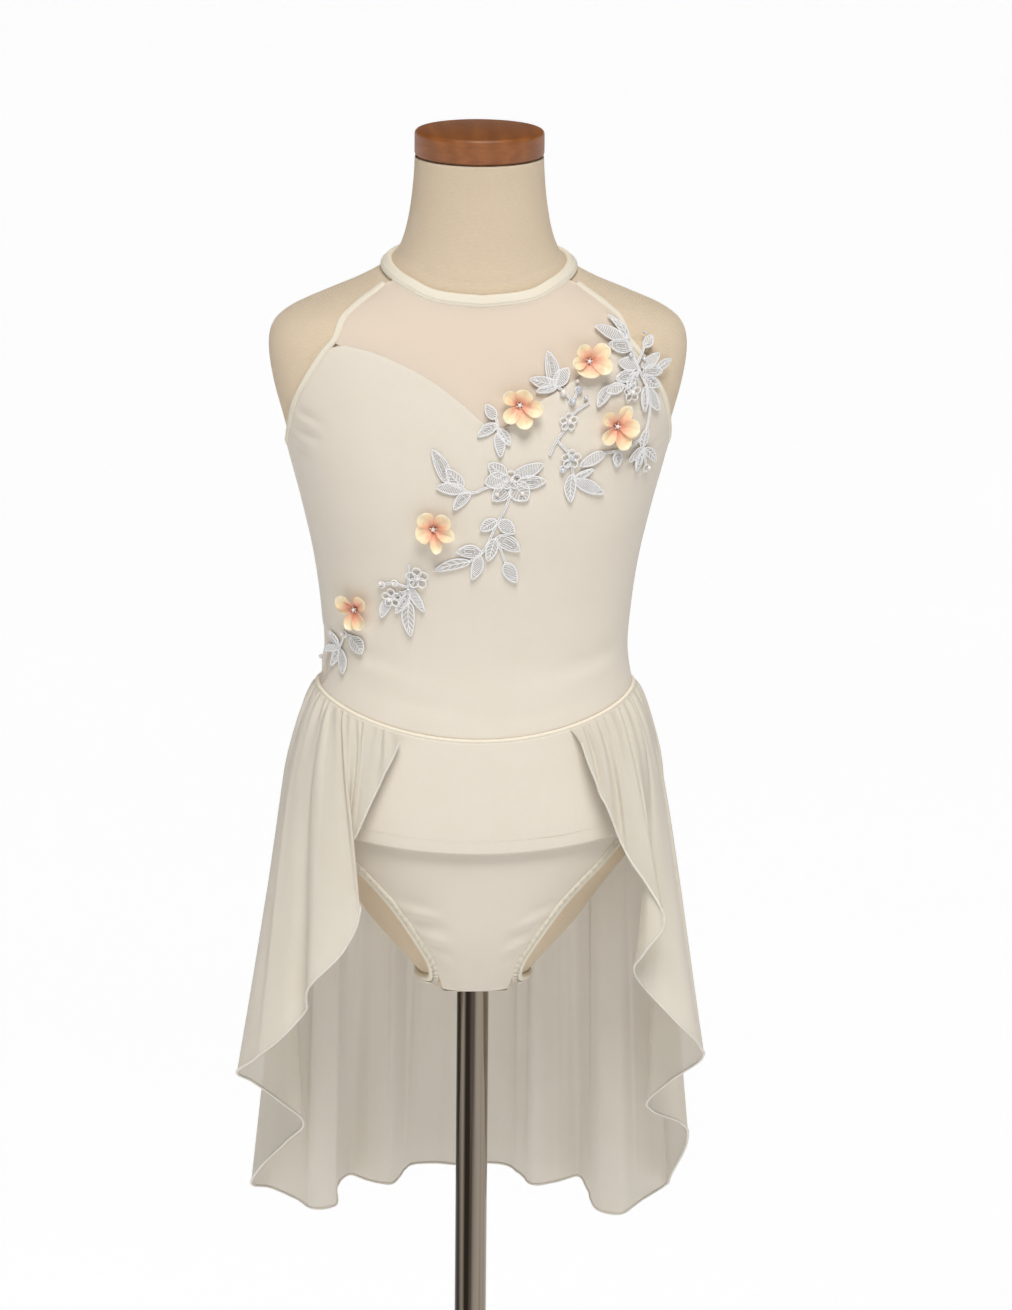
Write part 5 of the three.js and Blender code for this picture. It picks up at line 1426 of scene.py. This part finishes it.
# A leaf as its net, its cords and the beads on it. kind chooses how its inside is worked.
def workLeaf(leaf, lift, kind, bend):
    turn, height, length, width, lean = leaf
    big = width >= 8

    def at(s, side, more=0.0):
        s, side = np.asarray(s, float), np.asarray(side, float)
        across = side * leafHalf(s) * width + bend * length * np.sin(np.pi * s)
        spots = movedSpots(turn, height, lean, s * length, across)
        off = lift + laceSizes["middle"] + laceSizes["crown"] * (1 - side ** 2) + laceSizes["tipLift"] * s ** 2
        return offSkin(*spots, off + more)

    s, side = np.meshgrid(np.linspace(0.03, 0.98, 12), np.linspace(-0.94, 0.94, 7), indexing="ij")
    net = at(s, side, -0.15)
    run = np.linspace(0, 1, 15)
    edge = np.concatenate([at(run, 1 + 0 * run), at(run[::-1], -1 + 0 * run)[1:-1]])
    cords = [(edge, laceSizes["edgeCord"], True)]
    beads = []
    if kind == 0:
        rib = np.linspace(0, 0.9, 8)
        cords.append((at(rib, 0 * rib), laceSizes["rib"], False))
        vein = np.linspace(0, 1, 4)
        for start in np.linspace(0.1, 0.7, 5 if big else 4):
            for sign in (-1, 1):
                cords.append((at(start + 0.2 * vein, sign * 0.92 * vein, 0.05), laceSizes["vein"], False))
    elif kind == 1:
        for side in (0.68, 0.36):
            inner = np.linspace(0.5 - 0.56 * side, 0.5 + 0.52 * side, 10)
            loop = np.concatenate([at(inner, side + 0 * inner, 0.1), at(inner[::-1], -side + 0 * inner, 0.1)])
            cords.append((loop, laceSizes["innerCord"], True))
        beads = [(at(0.35 + 0.17 * k, 0.0, 0.2), laceSizes["seed"]) for k in range(3 if big else 2)]
    else:
        across = np.linspace(-0.9, 0.9, 5)
        for start in np.linspace(0.1, 0.82, max(int(length / laceSizes["satin"]), 6)):
            cords.append((at(start + 0.07 * across, across, 0.05), laceSizes["vein"], False))
    return net, cords, beads


# A bead seat: a corded ring, or for a large one a rosette of corded loops round its bead.
def workRound(spot, lift):
    turn, height, across = spot
    angles = np.arange(18) * 20.0 * degree

    def ring(x, y, more):
        spots = movedSpots(turn, height, 0, x, y)
        return offSkin(*spots, lift + laceSizes["middle"] + more + 0 * x)

    def circle(radius, more):
        return ring(radius * np.cos(angles), radius * np.sin(angles), more)

    if across < 8:
        return [(circle(across / 2 - 0.3, 0), laceSizes["edgeCord"], True)], circle(across / 2 - 0.5, -0.2)
    cords = [(circle(1.9, 0.9), laceSizes["innerCord"], True)]
    length, half = across / 2 + 1.6, across * 0.28
    for k in range(5):
        way = (72 * k + 20) * degree
        along, aside = length / 2 * (1 - np.cos(angles)) + 0.8, half * np.sin(angles)
        x, y = along * math.cos(way) - aside * math.sin(way), along * math.sin(way) + aside * math.cos(way)
        cords.append((ring(x, y, 0.25 + 0.12 * along), laceSizes["edgeCord"] * 0.85, True))
    return cords, circle(across / 2 - 0.6, -0.2)


def makeLace():
    maker = np.random.default_rng(11)
    for count, (name, spray) in enumerate(laceSprays.items()):
        nets, cords, beads, discs = [], [], [], []
        for k, leaf in enumerate(spray["leaves"]):
            bend = laceSizes["bend"] * maker.uniform(-1, 1)
            net, more, dots = workLeaf(leaf, spray["lift"], (k * 2 + count) % 3, bend)
            nets.append(net)
            cords += more
            beads += dots
        for route in spray["stems"]:
            line = sampled(route, 12 * len(route))
            for way in (-1, 1):
                side = beside(line, way * laceSizes["stemApart"])
                off = spray["lift"] + laceSizes["middle"] + 0.1 * way
                cords.append((offSkin(*side.T, off + 0 * side[:, 0]), laceSizes["stem"], False))
        for spot in spray["rounds"]:
            more, disc = workRound(spot, spray["lift"])
            cords += more
            discs.append(disc)
        corded = makeCords(f"laceCords.{name}", cords, "lace", 7)
        place(corded, "corded_lace", f"lace_{name}")
        points, faces, first = [], [], 0
        for net in nets:
            points.append(net.reshape(-1, 3))
            faces += list(gridFaces(net.shape[0] - 1, net.shape[1] - 1, False, first))
            first += net.shape[0] * net.shape[1]
        for disc in discs:
            middle = disc.mean(0)
            points.append(np.vstack([disc, middle]))
            size = len(disc)
            faces += [(first + k, first + (k + 1) % size, first + size) for k in range(size)]
            first += size + 1
        points = np.vstack(points)
        net = makePiece(f"laceNet.{name}", points, faces, "laceNet", points[:, [0, 2]])
        place(net, "corded_lace")
        parts = [corded]
        if beads:
            seeds = makeBeads(f"seedBeads.{name}", beads, "crystal", 2)
            parts.append(place(seeds, "corded_lace"))
        spread = points.max(0) - points.min(0)
        declareSheet(net, "laid", "bodiceFront", spread[0], spread[2], 1.0, parts)


makeLace()
stage("lace")

# A petal is (angle, length, width, tilt, cup): tilt is how steeply it stands off the cloth, in degrees.
flowers = {
    "1": {"turn": 28.5, "height": 1113, "petals": [
        (34, 18, 15, 26, 0.9), (122, 15, 13, 40, 1.2), (188, 15, 11, 34, 1.3), (255, 13, 19, 30, 0.8),
        (337, 17.5, 14, 24, 1.0)]},
    "2": {"turn": 10, "height": 1084, "petals": [
        (67, 14, 15, 52, 1.2), (144, 15.5, 12, 34, 1.3), (229, 16.5, 13, 22, 1.0), (285, 18, 14.5, 18, 1.2),
        (345, 17.5, 14.5, 24, 1.3)]},
    "3": {"turn": 39, "height": 1067, "petals": [
        (62, 18, 13, 30, 1.2), (142, 17, 12.5, 26, 1.1), (220, 17.5, 13, 20, 1.4), (287, 18, 14, 18, 0.9),
        (350, 16.5, 16, 30, 1.2)]},
    "4": {"turn": -16, "height": 997, "petals": [
        (44, 16.5, 15, 32, 1.2), (126, 16, 15, 30, 1.0), (204, 14, 16, 34, 1.0), (281, 18, 10, 16, 1.3),
        (342, 17, 13, 24, 1.3)]},
    "5": {"turn": -49, "height": 932, "petals": [
        (39, 16, 13.5, 22, 1.1), (133, 16, 15, 44, 1.4), (172, 12, 10, 38, 1.0), (256, 15.5, 11.5, 24, 1.2),
        (308, 16, 15.5, 22, 1.3)]},
}
petalSizes = {
    "cutLength": 19, "foot": 1.4, "rise": 0.8, "wall": 0.4, "widest": 0.62, "footWidth": 0.24, "ruffle": 0.8,
    "crease": 1.0, "pleat": 0.22, "bowl": 1.9, "lip": 1.3, "pearl": 1.5, "seat": 2.9, "knot": 2.6, "sunk": 0.3,
    "curls": 6, "seedRing": 2.1, "seed": 0.5,
}


def petalHalf(s):
    widest = petalSizes["widest"]
    narrow = 1 - (1 - petalSizes["footWidth"]) * (np.clip(widest - s, 0, 1) / widest) ** 1.5
    tip = np.sqrt(np.clip(1 - (np.clip(s - widest, 0, 1) / (1 - widest)) ** 2, 0.02, 1))
    return 0.5 * narrow * tip


# A petal's net in its flower's own frame: out from the centre, across, and up off the cloth.
def petalNet(petal, number, maker):
    angle, length, width, tilt, cup = petal
    s, side = np.meshgrid(np.linspace(0, 1, 19), np.linspace(-1, 1, 13), indexing="ij")
    flatten = 0.75 * tilt * s[:, 0]
    slope = (tilt + 18 * np.exp(-s[:, 0] / 0.2) - flatten) * degree
    step = (length - petalSizes["foot"]) / 18
    along = petalSizes["foot"] + np.concatenate([[0], np.cumsum(np.cos(slope[1:]) * step)])
    rise = petalSizes["rise"] + 0.25 * number + np.concatenate([[0], np.cumsum(np.sin(slope[1:]) * step)])
    half = petalHalf(s) * width
    across = side * half
    fold = -petalSizes["crease"] * np.exp(-((side / 0.14) ** 2)) * 4 * s * (1 - s)
    bowl = cup * petalSizes["bowl"] * side ** 2 * np.sin(np.pi * np.clip(s, 0, 1) ** 0.8)
    lip = cup * petalSizes["lip"] * np.clip((s - 0.72) / 0.28, 0, 1) ** 2
    phase = maker.uniform(0, 6)
    wave = petalSizes["ruffle"] * np.sin(3.2 * side + 5 * s + phase) * side ** 2 * s
    pleat = petalSizes["pleat"] * np.cos(3 * np.pi * side) * np.exp(-((s - 0.15) / 0.3) ** 2)
    up = rise[:, None] + fold + bowl + lip + wave + pleat
    across = across * (1 - 0.12 * cup * side ** 2)
    turn = angle * degree
    net = np.stack([
        along[:, None] * math.cos(turn) - across * math.sin(turn),
        along[:, None] * math.sin(turn) + across * math.cos(turn),
        up,
    ], -1)
    way = np.clip(s * 0.92 + 0.14 * side ** 2 * s + 0.05 * maker.uniform(-1, 1), 0, 1)
    return net, way


def makeFlower(name, flower):
    maker = np.random.default_rng(int(name) + 20)
    around, out = skinFrame(flower["turn"], flower["height"])[::2]
    right = unit(around)
    axes = np.stack([right, np.cross(out, right), out])
    origin = offSkin(flower["turn"], flower["height"], petalSizes["seat"])
    edge = np.clip(1 - np.abs(np.linspace(-1, 1, 13)) ** 6, 0.15, 1)
    wall = petalSizes["wall"] * np.sqrt(edge)[None, :, None]
    points, faces, ways, spots, first = [], [], [], [], 0
    for number, petal in enumerate(flower["petals"]):
        net, way = petalNet(petal, number, maker)
        normals = netNormals(net)
        upper, lower = net + normals * wall / 2, net - normals * wall / 2
        if normals[..., 2].mean() < 0:
            upper, lower = lower, upper
        columns, rows = net.shape[0] - 1, net.shape[1] - 1
        size = net.shape[0] * net.shape[1]
        shell = np.vstack([
            gridFaces(columns, rows, False, first, True),
            gridFaces(columns, rows, False, first + size),
            rimFaces(columns, rows) + first,
        ])
        faces += list(shell)
        points += [lower.reshape(-1, 3), upper.reshape(-1, 3)]
        ways += [way.ravel(), way.ravel()]
        spots += [net[..., :2].reshape(-1, 2)] * 2
        first += 2 * size
    local = np.concatenate(points)
    piece = makePiece(f"flower.{name}", origin + local @ axes, faces, "petal", np.concatenate(spots))
    carry(piece, "petalWay", np.concatenate(ways))
    place(piece, "petal_cloth", f"flower_{name}")

    curls = []
    for k in range(petalSizes["curls"]):
        angle = 360 / petalSizes["curls"] * k + maker.uniform(-12, 12)
        reach = maker.uniform(3.0, 4.6)
        s = np.linspace(0, 1, 7)
        radial = 0.5 + reach * s
        turn = (angle + 40 * s * maker.uniform(0.5, 1)) * degree
        local = np.stack([radial * np.cos(turn), radial * np.sin(turn), 1.2 + 3.0 * s - 1.4 * s ** 2], -1)
        curls.append((origin + local @ axes, 0.34 + 0.1 * np.sin(np.pi * s), False))
    heart = makeCords(f"flowerHeart.{name}", curls, "petalHeart", 6)
    place(heart, "petal_cloth")
    beads = [((0, 0, 3.0), petalSizes["pearl"])]
    angles, reach = np.arange(5) * 1.257 + maker.uniform(0, 6), petalSizes["seedRing"]
    beads += [((reach * math.cos(a), reach * math.sin(a), 2.9), petalSizes["seed"]) for a in angles]
    knot = [(origin + np.array(b[0]) @ axes, b[1]) for b in beads]
    pearls = place(makeBeads(f"flowerPearls.{name}", knot, "pearl", 3), "petal_cloth")
    angles, reach = np.arange(16) * math.pi / 8, petalSizes["knot"]
    rim = [(reach * math.cos(a), reach * math.sin(a)) for a in angles]
    rings = [(1.0, 0.0), (1.0, 0.9), (0.75, 1.5), (0.3, 1.8)]
    dome = np.array([[(x * r, y * r, z) for r, z in rings] for x, y in rim])
    foot = origin - out * petalSizes["sunk"]
    points = foot + dome.reshape(-1, 3) @ axes
    seat = makePiece(f"flowerSeat.{name}", points, cappedFaces(16, 3), "petalHeart")
    place(seat, "petal_cloth")
    widths = sum(p[2] for p in flower["petals"])
    parts = [heart, pearls, seat]
    declareSheet(piece, "gathered", "bodiceFront", widths, petalSizes["cutLength"], 1.0, parts)


for name, flower in flowers.items():
    makeFlower(name, flower)
stage("flowers")

# A bead is (turn, height, radius, off the body).
pearls = [
    (4.4, 1022, 1.5, 5.4), (12.2, 1022.6, 1.5, 5.4), (8.6, 1032, 1.7, 5.6), (-22.4, 959.6, 1.5, 5.3),
    (-36.3, 954, 1.4, 5.2), (-31.3, 954.8, 1.4, 5.2), (-33.4, 942.5, 1.5, 5.3), (-57.6, 911.5, 1.5, 5.3),
    (-93.4, 882.9, 1.6, 3.6), (21.8, 1092.4, 2.3, 5.4), (42.5, 1090, 2.0, 6.2), (56.3, 1034.5, 1.5, 6.0),
    (25.5, 1100, 1.4, 4.6), (24.2, 1072, 1.8, 5.4),
]
crystals = [
    (24.5, 1086.3, 2.3, 5.4), (26.2, 1094.4, 2.2, 5.4), (28.3, 1088, 1.6, 4.6), (26.1, 1046.5, 1.9, 5.3),
    (23.8, 1038.5, 1.8, 5.2), (48.1, 1129.4, 1.3, 4.4), (40.9, 1115.9, 1.6, 6.2), (45.5, 1112.5, 1.4, 6.0),
    (43.5, 1099, 1.3, 6.0), (49.5, 1098.5, 1.3, 6.0), (-26, 951, 1.3, 5.2), (-29, 949, 1.1, 5.0),
]


def makeLooseBeads():
    for name, rows, material in (("pearls", pearls, "pearl"), ("crystals", crystals, "crystal")):
        beads = [(offSkin(turn, height, off), radius) for turn, height, radius, off in rows]
        piece = makeBeads(name, beads, material, 3)
        place(piece, "corded_lace")


makeLooseBeads()
stage("beads")

# The camera stands 6.77 m from the costume, 13 degrees above it and 3 degrees to its right.
camera = {
    "turn": -3.0, "rise": 13.0, "distance": 6.770, "lens": 258.4, "roll": 0.5, "target": (0.022, 0, 0.885),
}


def makeCamera():
    rise = camera["rise"] * degree
    ahead = Vector((0, math.cos(rise), -math.sin(rise)))
    centre = Vector(camera["target"]) - ahead * camera["distance"]
    right = Vector((1, 0, 0))
    up = right.cross(ahead)
    roll = camera["roll"] * degree
    across = right * math.cos(roll) + up * math.sin(roll)
    over = up * math.cos(roll) - right * math.sin(roll)
    matrix = Matrix((across, over, -ahead)).transposed().to_4x4()
    matrix.translation = centre
    data = bpy.data.cameras.new("frontCamera")
    data.lens = camera["lens"]
    data.sensor_width = 36
    data.clip_end = 60
    data.dof.use_dof = False
    made = bpy.data.objects.new("frontCamera", data)
    made.matrix_world = Matrix.Rotation(camera["turn"] * degree, 4, "Z") @ matrix
    bpy.context.scene.collection.objects.link(made)
    bpy.context.scene.camera = made


# The studio's wide overhead light, a soft sun that lights the floor evenly, and a weak front light.
lights = {
    "overhead": {"energy": 2.75, "angle": 30, "rise": 60, "turn": 4},
    "front": {"energy": 6, "size": 1.4, "place": (0.1, -4.2, 1.3)},
    "room": 0.06,
}


def addLight(name, kind, **values):
    data = bpy.data.lights.new(name, kind)
    for key, value in values.items():
        setattr(data, key, value)
    lamp = bpy.data.objects.new(name, data)
    bpy.context.scene.collection.objects.link(lamp)
    return lamp


def makeLights():
    high, front = lights["overhead"], lights["front"]
    sun = addLight("overheadLight", "SUN", energy=high["energy"], angle=high["angle"] * degree)
    sun.rotation_euler = ((90 - high["rise"]) * degree, 0, high["turn"] * degree)
    lamp = addLight("frontLight", "AREA", energy=front["energy"], size=front["size"])
    lamp.location = front["place"]
    lamp.rotation_euler = (Vector((0, 0, 0.85)) - lamp.location).to_track_quat("-Z", "Y").to_euler()
    world = bpy.data.worlds.new("paleRoom")
    world.use_nodes = True
    world.node_tree.nodes["Background"].inputs["Color"].default_value = (1, 1, 1, 1)
    world.node_tree.nodes["Background"].inputs["Strength"].default_value = lights["room"]
    bpy.context.scene.world = world
    bpy.context.scene.view_settings.view_transform = "Standard"


cove = {"floor": 70.0, "bend": 3.0, "wall": 8.0, "sides": 96}


# A floor that runs up into a round wall far off, in metres.
def makeFloor():
    steps = np.linspace(0, math.pi / 2, 9)
    radius = [0.0, 4.0, 20.0, *(cove["floor"] + cove["bend"] * np.sin(steps)), cove["floor"] + cove["bend"]]
    height = [0.0, 0.0, 0.0, *(cove["bend"] * (1 - np.cos(steps))), cove["wall"]]
    angle = np.arange(cove["sides"]) * 2 * np.pi / cove["sides"]
    points = np.stack(np.broadcast_arrays(
        np.cos(angle)[:, None] * radius, np.sin(angle)[:, None] * radius, np.array(height)[None]), -1)
    mesh = bpy.data.meshes.new("studioFloor")
    faces = gridFaces(cove["sides"], len(radius) - 1, True, 0, True)
    mesh.from_pydata(points.reshape(-1, 3).tolist(), [], faces.tolist())
    mesh.validate()
    mesh.materials.append(materials["floor"])
    floor = bpy.data.objects.new("studioFloor", mesh)
    floor.location.z = -0.0005
    bpy.context.scene.collection.objects.link(floor)


makeCamera()
makeLights()
makeFloor()
stage("camera and light")
